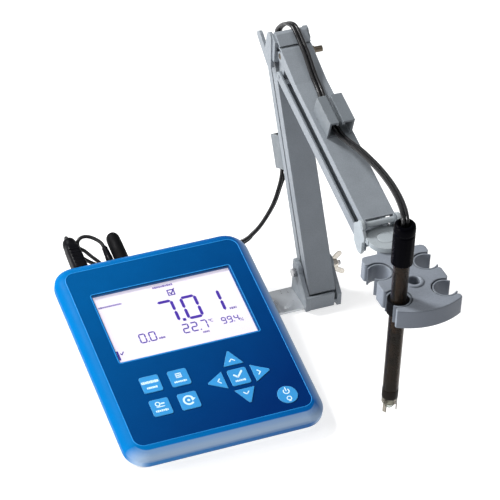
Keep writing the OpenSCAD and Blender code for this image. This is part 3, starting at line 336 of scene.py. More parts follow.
# inner pieces and small metal
inner_amber = material("inner_amber", (166, 150, 130), rough=0.3, spec=0.3, alpha=0.9,
                       bevel=0.2, tone=160)
element_dark = material("element_dark", (16, 12, 11), spec=0.1, bevel=0.3, tone_amt=0.2,
                        edge=(60, 48, 42))
nickel = material("nickel", (196, 194, 190), rough=0.2, metal=1.0, bevel=0.3, tone_amt=0.08,
                  edge=(240, 240, 238))
board_green = material("board_green", (18, 88, 52), rough=0.4, bevel=0.2, grain=700, bump=0.2,
                       tone_amt=0.15, edge=(150, 140, 90))
dome_film = material("dome_film", (222, 206, 160), rough=0.5, bevel=0.4, tone_amt=0.08)
backlight = material("backlight", (238, 240, 244), rough=0.5, bevel=0.3, tone_amt=0.04)
screw_steel = material("screw_steel", (166, 166, 170), rough=0.3, metal=1.0, bevel=0.3,
                       tone_amt=0.1, edge=(225, 225, 225))

# clear plastics
body_smoke = clear_plastic("body_smoke", (186, 172, 156), density=0.2, rough=0.16,
                           edge=(8, 12, 26), spec=0.5)
guard_clear = clear_plastic("guard_clear", (214, 210, 202), density=0.22, rough=0.14,
                            edge=(60, 58, 56), spec=0.7)
stem_glass = clear_plastic("stem_glass", (232, 236, 232), density=0.16, edge=(120, 130, 130))
display_window = clear_plastic("display_window", (250, 250, 252), density=0.05, rough=0.2,
                               edge=(120, 140, 180), spec=0.3, rise=0.2)

# inside and round the electrode tube
silver_wire = material("silver_wire", (120, 112, 104), rough=0.3, metal=0.8, bevel=0.1,
                       tone_amt=0.15)
gel_fill = material("gel_fill", (74, 64, 54), rough=0.35, spec=0.2, alpha=0.5, bevel=0.1,
                    tone=160, tone_amt=0.3)
junction_band = material("junction_band", (22, 17, 14), rough=0.4, spec=0.08, bevel=0.2,
                         tone_amt=0.2)

# Which CAD pieces wear each material.
WORN_BY = (
    (case_blue, "top_shell"), (panel_film, "keypad_overlay"), (display_window, "lcd_window"),
    (display_ink, "lcd_segments"), (display_cell, "lcd_glass"), (backlight, "lcd_backlight"),
    (dome_film, "dome_sheet"), (board_green, "main_pcb"), (case_grey, "base_shell"),
    (screw_steel, "case_screws pcb_screws bracket_screws"),
    (rubber_black, "rubber_feet holder_ring"),
    (key_blue, "key_1 key_2 key_3 key_4 key_up key_down key_left key_right key_enter key_power"),
    (nickel, "bnc_jack aux_jack"),
    (plug_black, "temp_jack power_jack temp_plug bnc_plug aux_cap"),
    (plate_steel, "base_plate"),
    (arm_grey, "arm_bracket lower_front_bar lower_rear_bar elbow_head"),
    (arm_grey, "upper_top_bar upper_bottom_bar"),
    (wrist_grey_painted_lit, "wrist_bracket"), (pin_steel, "base_bolt"),
    (arm_grey, "base_front_pin elbow_pins"), (wrist_grey_painted_lit, "wrist_pins"),
    (bolt_steel, "elbow_bolt elbow_nut"), (wing_chrome, "base_wing_nut"),
    (clip_grey, "upper_cable_clip lower_cable_clip"), (holder_grey, "electrode_holder"),
    (cap_black, "electrode_cap"), (body_smoke, "electrode_body"),
    (guard_clear, "guard_collar"), (stem_glass, "glass_bulb"), (inner_amber, "inner_tube"),
    (element_dark, "reference_element"),
    (lead_black, "lead_meter lead_lower lead_elbow lead_drop"), (wrist_grey_painted_lit, "swivel_pin"),
)
for worn, names in WORN_BY:
    for name in names.split():
        piece = nodes[name]
        if not piece.data.materials:
            piece.data.materials.append(worn)
        for slot in piece.material_slots:
            slot.link = "OBJECT"
            slot.material = worn


# ------------------------------------------------------------------ mesh helpers
def add_weighted_normals(obj):
    obj.modifiers.new("wn", "WEIGHTED_NORMAL").keep_sharp = True


def add_mesh(name, verts, faces, worn, smooth=True, bevel=0.0, subsurf=0):
    """Add an object from vertices in mm."""
    mesh = bpy.data.meshes.new(name)
    mesh.from_pydata([tuple(v * MM) for v in verts], [], faces)
    mesh.validate()
    mesh.update()
    obj = bpy.data.objects.new(name, mesh)
    bpy.context.scene.collection.objects.link(obj)
    bm = bmesh.new()
    bm.from_mesh(mesh)
    bmesh.ops.recalc_face_normals(bm, faces=bm.faces)
    bm.to_mesh(mesh)
    bm.free()
    mesh.materials.append(worn)
    if smooth:
        for polygon in mesh.polygons:
            polygon.use_smooth = True
    if bevel:
        modifier = obj.modifiers.new("bev", "BEVEL")
        modifier.width = bevel * MM
        modifier.segments = 3
        modifier.limit_method = "ANGLE"
        modifier.angle_limit = math.radians(35)
        add_weighted_normals(obj)
    if subsurf:
        modifier = obj.modifiers.new("sub", "SUBSURF")
        modifier.levels = modifier.render_levels = subsurf
    return obj


def add_part(name, verts, faces, worn, body, slot, cad=None, **options):
    """Add a mesh that rides on a body and may stand in for a CAD piece."""
    obj = add_mesh(name, verts, faces, worn, **options)
    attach(obj, body)
    if cad:
        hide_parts(cad)


def quads(rows, cols, start=0, close_rows=False, close_cols=True, rows_first=False):
    """Quads over a grid of vertices; rows_first turns each quad the other way round."""
    faces = []
    for row in range(rows if close_rows else rows - 1):
        here = start + row * cols
        there = start + (row + 1) % rows * cols
        for col in range(cols if close_cols else cols - 1):
            beside = (col + 1) % cols
            if rows_first:
                faces.append((here + col, there + col, there + beside, here + beside))
            else:
                faces.append((here + col, here + beside, there + beside, there + col))
    return faces


def end_caps(rows, cols, start=0):
    last = start + (rows - 1) * cols
    return [tuple(start + i for i in range(cols - 1, -1, -1)),
            tuple(last + i for i in range(cols))]


def loft(name, sections, *args, **options):
    """A closed skin over rings of points."""
    rows, cols = len(sections), len(sections[0])
    faces = quads(rows, cols, rows_first=True) + end_caps(rows, cols)
    add_part(name, [p for section in sections for p in section], faces, *args, **options)


def lathe(name, centre, profile, *args, axis="z", count=48, flute=None, **options):
    """Turn (along, radius) pairs round an axis; flute(angle, along) alters the radius."""
    cx, cy, cz = centre
    verts = []
    for along, radius in profile:
        for k in range(count):
            angle = 2 * math.pi * k / count
            r = radius + (flute(angle, along) if flute else 0)
            a, b = r * math.cos(angle), r * math.sin(angle)
            x, y, z = (along, a, b) if axis == "x" else (a, b, along)
            verts.append(Vector((cx + x, cy + y, cz + z)))
    add_part(name, verts, quads(len(profile), count), *args, **options)


# ------------------------------------------------------------------ smooth case shells
def smooth_group(degrees):
    """Node group that smooths a moulded shell except across edges sharper than the angle."""
    group = bpy.data.node_groups.new("smooth_%d" % degrees, "GeometryNodeTree")
    for way in ("INPUT", "OUTPUT"):
        group.interface.new_socket("Geometry", in_out=way, socket_type="NodeSocketGeometry")
    new, link = group.nodes.new, group.links.new
    group_in = new("NodeGroupInput")
    group_out = new("NodeGroupOutput")
    strip = new("GeometryNodeRemoveAttribute")
    strip.inputs["Name"].default_value = "custom_normal"
    merge = new("GeometryNodeMergeByDistance")
    merge.inputs["Distance"].default_value = 2e-6   # metres
    edge_angle = new("GeometryNodeInputMeshEdgeAngle")
    is_soft = new("FunctionNodeCompare")
    is_soft.data_type = "FLOAT"
    is_soft.operation = "LESS_THAN"
    is_soft.inputs[1].default_value = math.radians(degrees)
    smooth_faces = new("GeometryNodeSetShadeSmooth")
    smooth_faces.domain = "FACE"
    smooth_faces.inputs["Shade Smooth"].default_value = True
    smooth_edges = new("GeometryNodeSetShadeSmooth")
    smooth_edges.domain = "EDGE"
    link(edge_angle.outputs[0], is_soft.inputs[0])
    link(is_soft.outputs[0], smooth_edges.inputs["Shade Smooth"])
    chain = (group_in, strip, merge, smooth_faces, smooth_edges, group_out)
    for before, after in zip(chain, chain[1:]):
        link(before.outputs[0], after.inputs[0])
    return group


shell_smoothing = smooth_group(24)
for name in ("top_shell", "base_shell"):
    nodes[name].modifiers.new("smooth", "NODES").node_group = shell_smoothing
    add_weighted_normals(nodes[name])

# ------------------------------------------------------------------ leads
LEAD_RADIUS, LEAD_SIDES = 1.5, 16
SPAN_STEPS = 10            # path steps between control points
ELBOW_X = 1.35             # first lead's offset from the arm's centre at the elbow

# Control points of the two leads, from the meter to the clip and up the rear bar.
# panel: u, v, w. free: x, y, z. rear: x, out, along from the clip.
# shift: x offset over the elbow and top bar. drop_x: x offset from the electrode's centre.
LEAD_PATHS = (
    dict(
        panel=((-49.6, 104.5, -19.5), (-49.6, 109.2, -20.2), (-49.2, 111, -23.6),
               (-47, 108, -28.5), (-43, 101.5, -31.8), (-37, 94, -34), (-28, 87.5, -35.6),
               (-12, 83, -37), (20, 80, -39.5), (58, 76, -38)),
        free=((84, 97.5, 38.5), (93, 97.9, 43.2), (102, 99.6, 50.7), (113, 104.5, 63.3),
              (122, 113, 76)),
        rear=((-6.7, 18.6, -1.8), (-6.4, 14.4, 10), (-5.2, 11.5, 20), (-3.4, 8.8, 30),
              (-0.6, 6.4, 44), (1.2, 5.6, 63), (1.35, 6.4, 83), (1.35, 7, 94)),
        shift=0.0, drop_x=-1.6),
    dict(
        panel=((-24.2, 90, -19.5), (-25.6, 97, -19.0), (-30.2, 102.8, -18.8),
               (-34.5, 105.5, -18.9), (-38.8, 105.7, -19.2), (-42, 103.8, -20.4),
               (-42.6, 101.2, -23.2), (-40.8, 100.7, -26), (-37.8, 97.3, -26.4),
               (-35, 92.2, -26.8), (-31.5, 87, -27.6), (-26, 81, -29.5), (-10, 77, -36),
               (20, 74, -43), (60, 74, -43)),
        free=((86.5, 100, 34.5), (95, 101, 40), (104, 102.8, 48), (115.5, 107.8, 60.8),
              (124.8, 116, 73.4)),
        rear=((-3.2, 16.4, -1.8), (-3, 12.6, 10), (-2, 10, 20), (-0.2, 8, 30),
              (2.6, 6.4, 44), (4.3, 5.6, 63), (4.45, 6.4, 83), (4.45, 7, 94)),
        shift=3.1, drop_x=1.6),
)
# Over the elbow, back to front: y, z from the elbow point.
ARCH = ((22.4, 11.6), (17.2, 20.3), (7.0, 28.9), (-3.4, 33.8), (-10.8, 33.4), (-18.6, 30.4),
        (-28.9, 26.2))
# Down the top bar: x, out, along.
TOP_BAR = ((ELBOW_X, 9.9, 16.9), (ELBOW_X, 5.6, 30), (1.2, 4.3, 42), (-0.4, 5.4, 52),
           (-2.2, 6.6, 60), (-2.5, 7, 75))
# Bezier from the top bar to the electrode cap, and where it is sampled.
DROP = (Vector((131.5, 33.5, 175)), Vector((141.1, -50.3, 191.6)),
        Vector((ELECTRODE_X, ELECTRODE_Y, CAP_TOP + 9.6)),
        Vector((ELECTRODE_X, ELECTRODE_Y, CAP_TOP)))
DROP_STATIONS = (0.02, 0.14, 0.28, 0.42, 0.56, 0.7, 0.82, 0.92, 1.0)
SUNK_IN_CAP = 5.4
# Control points, counted from the clip, where the leads are cut into pieces.
CUTS_FROM_CLIP = (0, 6, 11, 16, 21, 22, 24, 30)

# name, bodies (a piece with one rides on it; a piece with two is left unattached), CAD piece it
# replaces
LEAD_PIECES = (
    ("lead_at_meter", ("case",), "lead_meter"),
    ("lead_meter_to_clip", ("case", "lower_rear"), "lead_meter"),
    ("lead_on_rear_bar", ("lower_rear",), "lead_lower"),
    ("lead_arch_rear", ("lower_rear", "elbow"), "lead_elbow"),
    ("lead_arch_front", ("elbow", "upper_top"), "lead_elbow"),
    ("lead_on_top_bar", ("upper_top",), "lead_elbow"),
    ("lead_drop_one", ("upper_top", "wrist"), "lead_drop"),
    ("lead_drop_two", ("wrist", "holder"), "lead_drop"),
    ("lead_drop_three", ("holder", "electrode"), "lead_drop"),
)


def drop_point(t, x):
    p0, p1, p2, p3 = DROP
    return ((1 - t) ** 3 * p0 + 3 * (1 - t) ** 2 * t * p1 + 3 * (1 - t) * t * t * p2
            + t ** 3 * p3 + Vector((x, 0, 0)))


def lead_controls(path):
    shift, drop_x = path["shift"], path["drop_x"]
    points = [panel_point(*p) for p in path["panel"]]
    points += [Vector(p) for p in path["free"]]
    points += [rear_bar_point(x, out, CLIP + along) for x, out, along in path["rear"]]
    points += [ELBOW + Vector((ELBOW_X + shift, y, z)) for y, z in ARCH]
    points += [top_bar_point(x + shift, out, along) for x, out, along in TOP_BAR]
    points += [drop_point(t, drop_x) for t in DROP_STATIONS]
    points.append(Vector((ELECTRODE_X + drop_x, ELECTRODE_Y, CAP_TOP - SUNK_IN_CAP)))
    return points


def catmull_rom(points, steps):
    out = []
    last = len(points) - 1
    for i in range(last):
        a, b, c, d = points[max(i - 1, 0)], points[i], points[i + 1], points[min(i + 2, last)]
        for j in range(steps):
            t = j / steps
            out.append(0.5 * ((2 * b) + (c - a) * t + (2 * a - 5 * b + 4 * c - d) * t * t
                              + (3 * b - a - 3 * c + d) * t ** 3))
    out.append(points[-1])
    return out


def path_frames(path):
    """Pairs of cross axes that turn as little as possible along the path."""
    last = len(path) - 1
    tangents = [(path[min(i + 1, last)] - path[max(i - 1, 0)]).normalized()
                for i in range(last + 1)]
    first = tangents[0]
    ref = Vector((1, 0, 0)) if abs(first.x) < 0.9 else Vector((0, 0, 1))
    side = (ref - first * ref.dot(first)).normalized()
    out = []
    for tangent in tangents:
        side = (side - tangent * side.dot(tangent)).normalized()
        out.append((side.copy(), tangent.cross(side)))
    return out


pieces = [([], []) for _ in LEAD_PIECES]   # vertices and faces, both leads together
for lead in LEAD_PATHS:
    path = catmull_rom(lead_controls(lead), SPAN_STEPS)
    cross_axes = path_frames(path)
    clip = len(lead["panel"]) + len(lead["free"])
    cuts = [0, len(lead["panel"]) - 1] + [clip + step for step in CUTS_FROM_CLIP]
    for k, (verts, faces) in enumerate(pieces):
        start = len(verts)
        begin, end = cuts[k] * SPAN_STEPS, cuts[k + 1] * SPAN_STEPS
        for i in range(begin, end + 1):
            a, b = cross_axes[i]
            for j in range(LEAD_SIDES):
                angle = 2 * math.pi * j / LEAD_SIDES
                verts.append(path[i] + LEAD_RADIUS * (math.cos(angle) * a + math.sin(angle) * b))
        rows = end - begin + 1
        faces += quads(rows, LEAD_SIDES, start, rows_first=True)
        near_cap, far_cap = end_caps(rows, LEAD_SIDES, start)
        if k == 0:
            faces.append(near_cap)
        if k == len(pieces) - 1:
            faces.append(far_cap)

for k, (name, bodies, cad) in enumerate(LEAD_PIECES):
    obj = add_mesh(name, *pieces[k], lead_black)
    if len(bodies) == 1:
        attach(obj, bodies[0])
    else:
        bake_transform(obj)
    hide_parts(cad)


# ------------------------------------------------------------------ flat printed marks
def rounded_box(u0, v0, u1, v1, radius, steps):
    """Outline points, each with its outward direction: u, v, du, dv."""
    points = []
    for cu, cv, begin in ((u1 - radius, v1 - radius, 0), (u0 + radius, v1 - radius, 90),
                          (u0 + radius, v0 + radius, 180), (u1 - radius, v0 + radius, 270)):
        for k in range(steps + 1):
            a = math.radians(begin + 90 * k / steps)
            du, dv = math.cos(a), math.sin(a)
            points.append((cu + radius * du, cv + radius * dv, du, dv))
    return points


class Marks:
    """Thin flat shapes between two heights over the panel."""

    def __init__(self, levels):
        self.verts, self.faces, self.levels = [], [], levels

    def poly(self, points):
        start, count = len(self.verts), len(points)
        for w in self.levels:
            self.verts += [panel_point(p[0], p[1], w) for p in points]
        self.faces += end_caps(2, count, start) + quads(2, count, start)

    def bar(self, u0, v0, u1, v1, radius):
        self.poly(rounded_box(u0, v0, u1, v1, radius, steps=3))

    def stroke(self, points, width):
        """Round-ended lines from point to point."""
        half = width / 2
        for (u0, v0), (u1, v1) in zip(points, points[1:]):
            heading = math.degrees(math.atan2(v1 - v0, u1 - u0))
            out = []
            for cu, cv, begin in ((u1, v1, heading - 90), (u0, v0, heading + 90)):
                for k in range(7):
                    a = math.radians(begin + k * 30)
                    out.append((cu + half * math.cos(a), cv + half * math.sin(a)))
            self.poly(out)

    def chevron(self, u, v, du, dv, width=0.95):
        """A right-angled arrow head pointing along (du, dv)."""
        wide, tall = 2 * abs(dv), 2 * abs(du)
        self.stroke([(u - du - wide, v - dv + tall), (u + du, v + dv),
                     (u - du + wide, v - dv - tall)], width)

    def ring(self, u, v, radius, width, begin=0, end=360, count=28):
        """A ring, or the arc of one between two angles in degrees."""
        inner, outer = radius - width / 2, radius + width / 2
        for i in range(count):
            a, b = (math.radians(begin + (end - begin) * k / count) for k in (i, i + 1))
            self.poly([(u + r * math.cos(t), v + r * math.sin(t))
                       for r, t in ((inner, a), (outer, a), (outer, b), (inner, b))])

    def disc(self, u, v, radius, count=24):
        angles = [2 * math.pi * i / count for i in range(count)]
        self.poly([(u + radius * math.cos(a), v + radius * math.sin(a)) for a in angles])

    def dashes(self, begin, end, v, height, step, gap):
        """A row of uneven blocks that reads as small lettering."""
        u, k = begin, 0
        while u < end - 0.4:
            width = step * (0.7 + 0.3 * ((k * 7) % 3) / 2)
            low = height / 2 * (0.8 + 0.2 * ((k * 5) % 2))
            high = height / 2 * (0.8 + 0.2 * ((k * 3) % 2))
            self.bar(u, v - low, min(u + width, end), v + high, 0.15)
            u += width + gap
            k += 1


def draw_marks(name, shapes, levels, worn, body, slot):
    marks = Marks(levels)
    for shape, *args in shapes:
        getattr(marks, shape)(*args)
    add_part(name, marks.verts, marks.faces, worn, body, slot, smooth=False)


KEY_TOP = 0.5
KEY_LEVELS = (KEY_TOP - 0.05, KEY_TOP + 0.07)
DISPLAY_LEVELS = (-2.79, -2.62)

# Each shape: a Marks method, then its arguments in panel u and v.
KEY_PRINTS = {
    "key_1": [("dashes", -48, -34.6, -57.0, 2.6, 1.5, 0.25),
              ("dashes", -45.2, -37, -62.2, 1.9, 1.4, 0.25)],
    "key_2": [*(("bar", -20.9, -59.2 + i * 1.7, -16.1, -58.2 + i * 1.7, 0.2) for i in range(3)),
              ("bar", -20.9, -59.2, -20.1, -54.8, 0.2),
              ("bar", -16.9, -59.2, -16.1, -54.8, 0.2),
              ("dashes", -23.6, -13.8, -62.6, 1.8, 1.4, 0.3)],
    "key_3": [("ring", -42.6, -77.9, 1.7, 0.8), ("bar", -40.2, -78.6, -37.2, -77.4, 0.3),
              ("stroke", [(-44, -80.6), (-38, -80.6)], 0.7),
              ("dashes", -46, -36.2, -84.2, 1.9, 1.4, 0.3)],
    "key_4": [("ring", -19.0, -80.8, 3.7, 1.5, 20, 320),
              ("poly", [(-16.9, -78.9), (-13.4, -80.0), (-16.3, -82.2)]),
              ("disc", -19.0, -80.8, 1.1)],
    "key_up": [("chevron", 25.2, -54.6, 0, 1)],
    "key_down": [("chevron", 25.1, -86.7, 0, -1)],
    "key_left": [("chevron", 9.0, -70.8, -1, 0)],
    "key_right": [("chevron", 41.4, -70.9, 1, 0)],
    "key_enter": [("stroke", [(21.8, -68.6), (24.2, -71.0), (28.6, -66.2)], 1.5),
                  ("dashes", 21, 29.6, -74.4, 1.9, 1.3, 0.3)],
    "key_power": [("ring", 54.3, -93.6, 2.2, 0.9, 130, 410),
                  ("stroke", [(54.3, -93.2), (54.3, -90.2)], 0.9),
                  ("ring", 54.3, -100.2, 1.7, 0.8), ("bar", 53.3, -103.0, 55.3, -102.3, 0.2)],
}
DISPLAY_MARKS = [
    ("stroke", [(2.2, 19.6), (7.2, 19.6), (7.2, 24.6), (2.2, 24.6), (2.2, 19.6)], 0.8),
    ("stroke", [(3.2, 22.2), (4.6, 20.8), (7.9, 25.2)], 0.9),
    ("stroke", [(-54.4, -21.4), (-54.4, -28.8)], 1.5),
    ("stroke", [(-52.4, -23.6), (-51.6, -24.8), (-49.8, -22.4)], 0.7),
]
DISPLAY_LEGENDS = [
    ("dashes", -7.8, 8.4, 29.6, 1.9, 1.5, 0.4), ("dashes", -54.2, -35.6, 22.0, 1.7, 1.5, 0.4),
    ("dashes", 43.0, 48.6, -5.2, 2.1, 1.5, 0.4), ("dashes", -19.2, -13.6, -17.6, 1.9, 1.7, 0.3),
    ("ring", 23.6, -11.3, 0.6, 0.35), ("ring", 25.6, -12.2, 1.2, 0.5, 50, 310),
    ("dashes", 15.0, 20.2, -21.4, 1.7, 1.4, 0.3),
    ("ring", 47.2, -16.6, 0.55, 0.3), ("ring", 49.0, -18.4, 0.55, 0.3),
    ("stroke", [(46.9, -18.8), (49.3, -16.2)], 0.35),
]
for key, shapes in KEY_PRINTS.items():
    draw_marks(key + "_print", shapes, KEY_LEVELS, key_print, key + "_body", "key_blue")
for name, shapes, ink in (("display_marks", DISPLAY_MARKS, display_ink),
                          ("display_legends", DISPLAY_LEGENDS, display_ink_light)):
    draw_marks(name, shapes, DISPLAY_LEVELS, ink, "case", "display_ink")


# ------------------------------------------------------------------ raised beads
def bead(name, box, radius, profile):
    """Sweep (outward offset, height) pairs round a rounded box on the panel."""
    outline = rounded_box(*box, radius, steps=10)
    verts = [panel_point(u + out * du, v + out * dv, w)
             for u, v, du, dv in outline for out, w in profile]
    faces = quads(len(outline), len(profile), close_rows=True, close_cols=False,
                  rows_first=True)
    add_part(name, verts, faces, panel_rim_highlight, "case", "case_blue")


# both beads wear the lighter rim blue, a painted highlight along the panel's edge and round the
# display
bead("panel_bead", box=(-70.9, -110.4, 70.9, 58.4), radius=8.0,
     profile=[(-0.35, 0.0), (-0.3, 0.16), (0.0, 0.26), (0.35, 0.16), (0.45, -0.1)])
bead("display_rim", box=(-57.45, -34.4, 57.45, 34.4), radius=2.0,
     profile=[(-0.75, 0.02), (-0.6, 0.1), (-0.2, 0.14), (0.15, 0.04)])

# ------------------------------------------------------------------ plugs behind the case
PLUG_U, PLUG_W = -49.6, -19.5


def plug_section(v, cu, cw, half_u, half_w, flatness=0):
    """Cross-section at v: an ellipse at flatness 0, squarer towards 1."""
    points = []
    power = 2.0 + 3.0 * flatness
    for k in range(40):
        a = 2 * math.pi * k / 40
        x, z = math.cos(a), math.sin(a)
        d = (abs(x) ** power + abs(z) ** power) ** (1 / power)
        points.append(panel_point(cu + half_u * x / d, v, cw + half_w * z / d))
    return points


def round_sections(cu, cw, profile):
    """profile: v and radius."""
    return [plug_section(v, cu, cw, r, r) for v, r in profile]


# moulded plug on the left connector: v, half width, half height, flatness, lift
PLUG_STATIONS = (
    (68.2, 6.0, 6.0, 0, 0), (68.6, 6.3, 6.3, 0, 0), (71.4, 6.4, 6.4, 0, 0),
    (72.4, 6.0, 6.2, 0.3, 0.2), (73.6, 5.9, 6.5, 0.8, 0.4), (76, 5.9, 6.6, 1.0, 0.5),
    (84, 5.8, 6.5, 1.0, 0.5), (95, 5.6, 6.3, 0.9, 0.4), (97.2, 5.5, 6.0, 0.5, 0.2),
    (98.4, 5.7, 5.8, 0.1, 0), (101.2, 5.8, 5.8, 0, 0), (103.8, 5.3, 5.3, 0, 0),
    (105.6, 4.3, 4.3, 0, 0), (106.7, 2.9, 2.9, 0, 0), (107.1, 1.7, 1.7, 0, 0),
)
loft("plug_body", [plug_section(v, PLUG_U, PLUG_W + lift, half_u, half_w, flatness)
                   for v, half_u, half_w, flatness, lift in PLUG_STATIONS],
     plug_black, "case", "plug_black", "bnc_plug", subsurf=1)

# grip ribs across its flat top
RIB_START, RIB_PITCH, RIB_HALF_WIDTH, RIB_LIFT = 77.5, 3.4, 4.3, 6.85
RIB_PROFILE = ((0.0, 0.0), (0.35, 0.38), (0.85, 0.38), (1.2, 0.0))   # v, height
for i in range(5):
    v0 = RIB_START + i * RIB_PITCH
    verts = [panel_point(PLUG_U + s * RIB_HALF_WIDTH, v0 + v, PLUG_W + RIB_LIFT + w)
             for v, w in RIB_PROFILE for s in (-1, -0.5, 0, 0.5, 1)]
    add_part("plug_rib_%d" % i, verts, quads(4, 5, close_cols=False),
             plug_black, "case", "plug_black")

# slightly waisted rubber cap with a soft dome
AUX_CAP_PROFILE = (
    (68.1, 5.5), (68.4, 6.0), (70.2, 6.05), (71.0, 5.75), (72.2, 5.7), (88, 5.65), (96.2, 5.6),
    (98.8, 5.3), (100.7, 4.5), (102.1, 3.3), (102.9, 1.7), (103.1, 0.5))
loft("aux_cap_skin", round_sections(-15.0, -19.0, AUX_CAP_PROFILE),
     rubber_black, "case", "rubber_black", "aux_cap", subsurf=1)

# small temperature plug with a ringed strain relief
temp_profile = [(67.3, 2.6), (67.6, 2.9), (81, 2.9), (82, 2.8)]
for k in range(5):
    v = k * 1.7
    groove, crest = 0.06 * k, 2.65 - k * 0.08
    temp_profile += [(82.6 + v, 2.25 - groove), (83.3 + v, crest), (83.8 + v, crest),
                     (84.2 + v, 2.2 - groove)]
temp_profile += [(91.8, 1.85), (92.6, 1.55)]
loft("temp_plug_skin", round_sections(-24.2, -19.5, temp_profile),
     plug_black, "case", "plug_black", "temp_plug")

# ------------------------------------------------------------------ wing nut
NUT_X = ARM_X + 15.4
WING_ANGLE = math.radians(59)
WING_HALF_THICKNESS = 0.85
HUB_PROFILE = ((0, 2.1), (0, 4.5), (0.5, 4.75), (1.6, 4.6), (3.4, 3.9), (4.8, 3.6), (5.3, 3.3),
               (5.4, 2.1), (0, 2.1))
lathe("wing_hub", (NUT_X, REAR_FOOT.y, REAR_FOOT.z), HUB_PROFILE,
      wing_chrome, "wing_nut", "wing_chrome", "base_wing_nut", axis="x", count=40)

# distance out from the bolt's axis, distance along it
WING_OUTLINE = ((2.6, 0.8), (4.2, 0.6), (5.8, 2.4), (7.6, 4.8), (8.9, 7.0), (9.3, 8.8),
                (8.6, 10.2), (7.2, 10.7), (5.8, 10.1), (4.8, 8.6), (3.8, 6.6), (2.6, 4.6))
for k, side in enumerate((1, -1)):
    verts = []
    c, s = math.cos(WING_ANGLE), math.sin(WING_ANGLE)
    for thick in (-WING_HALF_THICKNESS, WING_HALF_THICKNESS):
        for out, x in WING_OUTLINE:
            y = side * out * c - thick * s
            z = side * out * s + thick * c
            verts.append(Vector((NUT_X + x, REAR_FOOT.y + y, REAR_FOOT.z + z)))
    count = len(WING_OUTLINE)
    add_part("wing_%d" % k, verts, end_caps(2, count) + quads(2, count),
             wing_chrome, "wing_nut", "wing_chrome", bevel=0.45)

# ------------------------------------------------------------------ electrode
# z from the cap's base, radius
CAP_PROFILE = (
    (0, 6.1), (0, 7.3), (0.5, 7.9), (1.4, 8.1), (24.4, 8.1), (25.4, 7.95), (25.9, 7.55),
    (26.5, 7.5), (27.0, 7.9), (27.8, 8.0), (31.0, 8.0), (33.2, 7.6), (34.2, 6.8),
    (CAP_HEIGHT, 5.6), (34.1, 4.6), (33.1, 4.0), (29.0, 3.8), (28.7, 0.2))


def cap_flute(angle, z):
    """Twelve shallow flutes round the cap's straight side."""
    return -0.18 * (0.5 + 0.5 * math.cos(12 * angle)) if 1.3 < z < 24.5 else 0.0


lathe("cap_skin", (ELECTRODE_X, ELECTRODE_Y, CAP_TOP - CAP_HEIGHT), CAP_PROFILE,
      cap_black, "electrode", "cap_black", "electrode_cap", count=96, flute=cap_flute)

# pieces inside and round the smoked tube: z, radius
lathe("reference_wire", (ELECTRODE_X + 1.2, ELECTRODE_Y - 3.6, 0),
      ((62, 0.05), (62, 0.35), (160, 0.35), (160, 0.05)),
      silver_wire, "electrode", "element_dark", count=12)
for name, profile, worn, slot in (
        ("tube_plug", ((77.0, 0.1), (77.0, 3.0), (77.6, 3.35), (82.4, 3.35), (83.0, 3.0),
                       (83.0, 0.1)), element_dark, "element_dark"),
        ("gel_column", ((56.2, 2.75), (56.2, 4.9), (96.5, 4.9), (97.6, 2.75)),
         gel_fill, "inner_amber"),
        ("junction_band", ((45.2, 5.9), (45.2, 6.06), (45.6, 6.12), (52.6, 6.12), (53.2, 6.06),
                           (53.2, 5.9)), junction_band, "element_dark")):
    lathe(name, (ELECTRODE_X, ELECTRODE_Y, 0), profile, worn, "electrode", slot)

# ------------------------------------------------------------------ holder and swivel
lathe("holder_hole_rim", (ARM_X, HOLE_Y, HOLDER_TOP),
      ((0.3, 4.62), (1.0, 4.8), (1.15, 5.4), (1.1, 6.2), (0.8, 7.1), (0.1, 7.6)),
      holder_grey, "holder", "holder_grey")
# shallow domed head of the swivel pin
lathe("swivel_head", (ARM_X, SWIVEL_Y, SWIVEL_TOP),
      ((-0.1, 6.5), (0.02, 6.42), (0.12, 6.1), (0.16, 4.2), (0.18, 0.05)),
      wrist_grey_painted_lit, "wrist", "arm_grey")


# ------------------------------------------------------------------ stage (metres from here)
def floor_material():
    graph = Graph("floor_pale")
    patches = graph.remap(graph.noise(3.0), NOISE_RANGE, (0.0, 1.0))
    return graph.finish(graph.node("ShaderNodeBsdfPrincipled", {
        "Base Color": graph.mix(patches, (0.58, 0.58, 0.58, 1), (0.62, 0.62, 0.62, 1)),
        "Roughness": 0.85, "Specular IOR Level": 0.1,
        "Emission Color": (1, 1, 1, 1), "Emission Strength": 0.6,
    }))


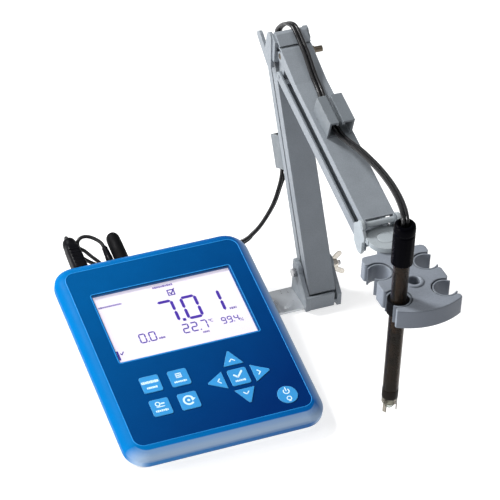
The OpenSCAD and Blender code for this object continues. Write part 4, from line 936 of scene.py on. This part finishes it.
scene = bpy.context.scene
floor_mesh = bpy.data.meshes.new("floor")
floor_mesh.from_pydata([(-6, -6, 0), (6, -6, 0), (6, 6, 0), (-6, 6, 0)], [], [(0, 1, 2, 3)])
floor = bpy.data.objects.new("floor", floor_mesh)
scene.collection.objects.link(floor)
floor_mesh.materials.append(floor_material())

scene.world = bpy.data.worlds.new("studio")
scene.world.use_nodes = True
background = scene.world.node_tree.nodes["Background"]
background.inputs["Color"].default_value = (0.97, 0.98, 1.0, 1)
background.inputs["Strength"].default_value = 0.3

# name, place, point aimed at, size, watts
LIGHTS = (
    ("key_back_left", (-0.85, 1.1, 1.55), (0.05, 0.02, 0.08), (0.4, 0.4), 46),
    ("left_soft", (-1.6, -0.1, 0.55), (0.05, 0.02, 0.08), (1.0, 1.0), 25),
    ("top_soft", (0.2, -0.2, 1.9), (0.05, 0.0, 0.0), (1.6, 1.2), 6),
    ("front_fill", (0.9, -1.6, 0.7), (0.05, 0, 0.08), (1.0, 0.8), 2),
)
for name, place, target, size, power in LIGHTS:
    light = bpy.data.lights.new(name, "AREA")
    light.shape = "RECTANGLE"
    light.size, light.size_y = size
    light.energy = power
    lamp = bpy.data.objects.new(name, light)
    scene.collection.objects.link(lamp)
    lamp.location = place
    aim = Vector(target) - Vector(place)
    lamp.rotation_euler = aim.to_track_quat("-Z", "Y").to_euler()

# the camera's own axes and its place
CAMERA_RIGHT = (0.92581972, -0.37645354, 0.03377261)
CAMERA_UP = (0.20633816, 0.57826401, 0.78932585)
CAMERA_BACK = (-0.31667399, -0.72380486, 0.61304495)
CAMERA_PLACE = (-0.54104356, -1.34871248, 1.25258879)
lens = bpy.data.cameras.new("photo_camera")
camera = bpy.data.objects.new("photo_camera", lens)
scene.collection.objects.link(camera)
lens.lens = 180.0
lens.sensor_width = 36.0
lens.sensor_fit = "HORIZONTAL"
lens.clip_start = 0.05
lens.clip_end = 30
camera.matrix_world = Matrix(
    [*zip(CAMERA_RIGHT, CAMERA_UP, CAMERA_BACK, CAMERA_PLACE), (0, 0, 0, 1)])
scene.camera = camera
scene.view_settings.view_transform = "Standard"
scene.view_settings.look = "None"
scene.view_settings.exposure = 0.0
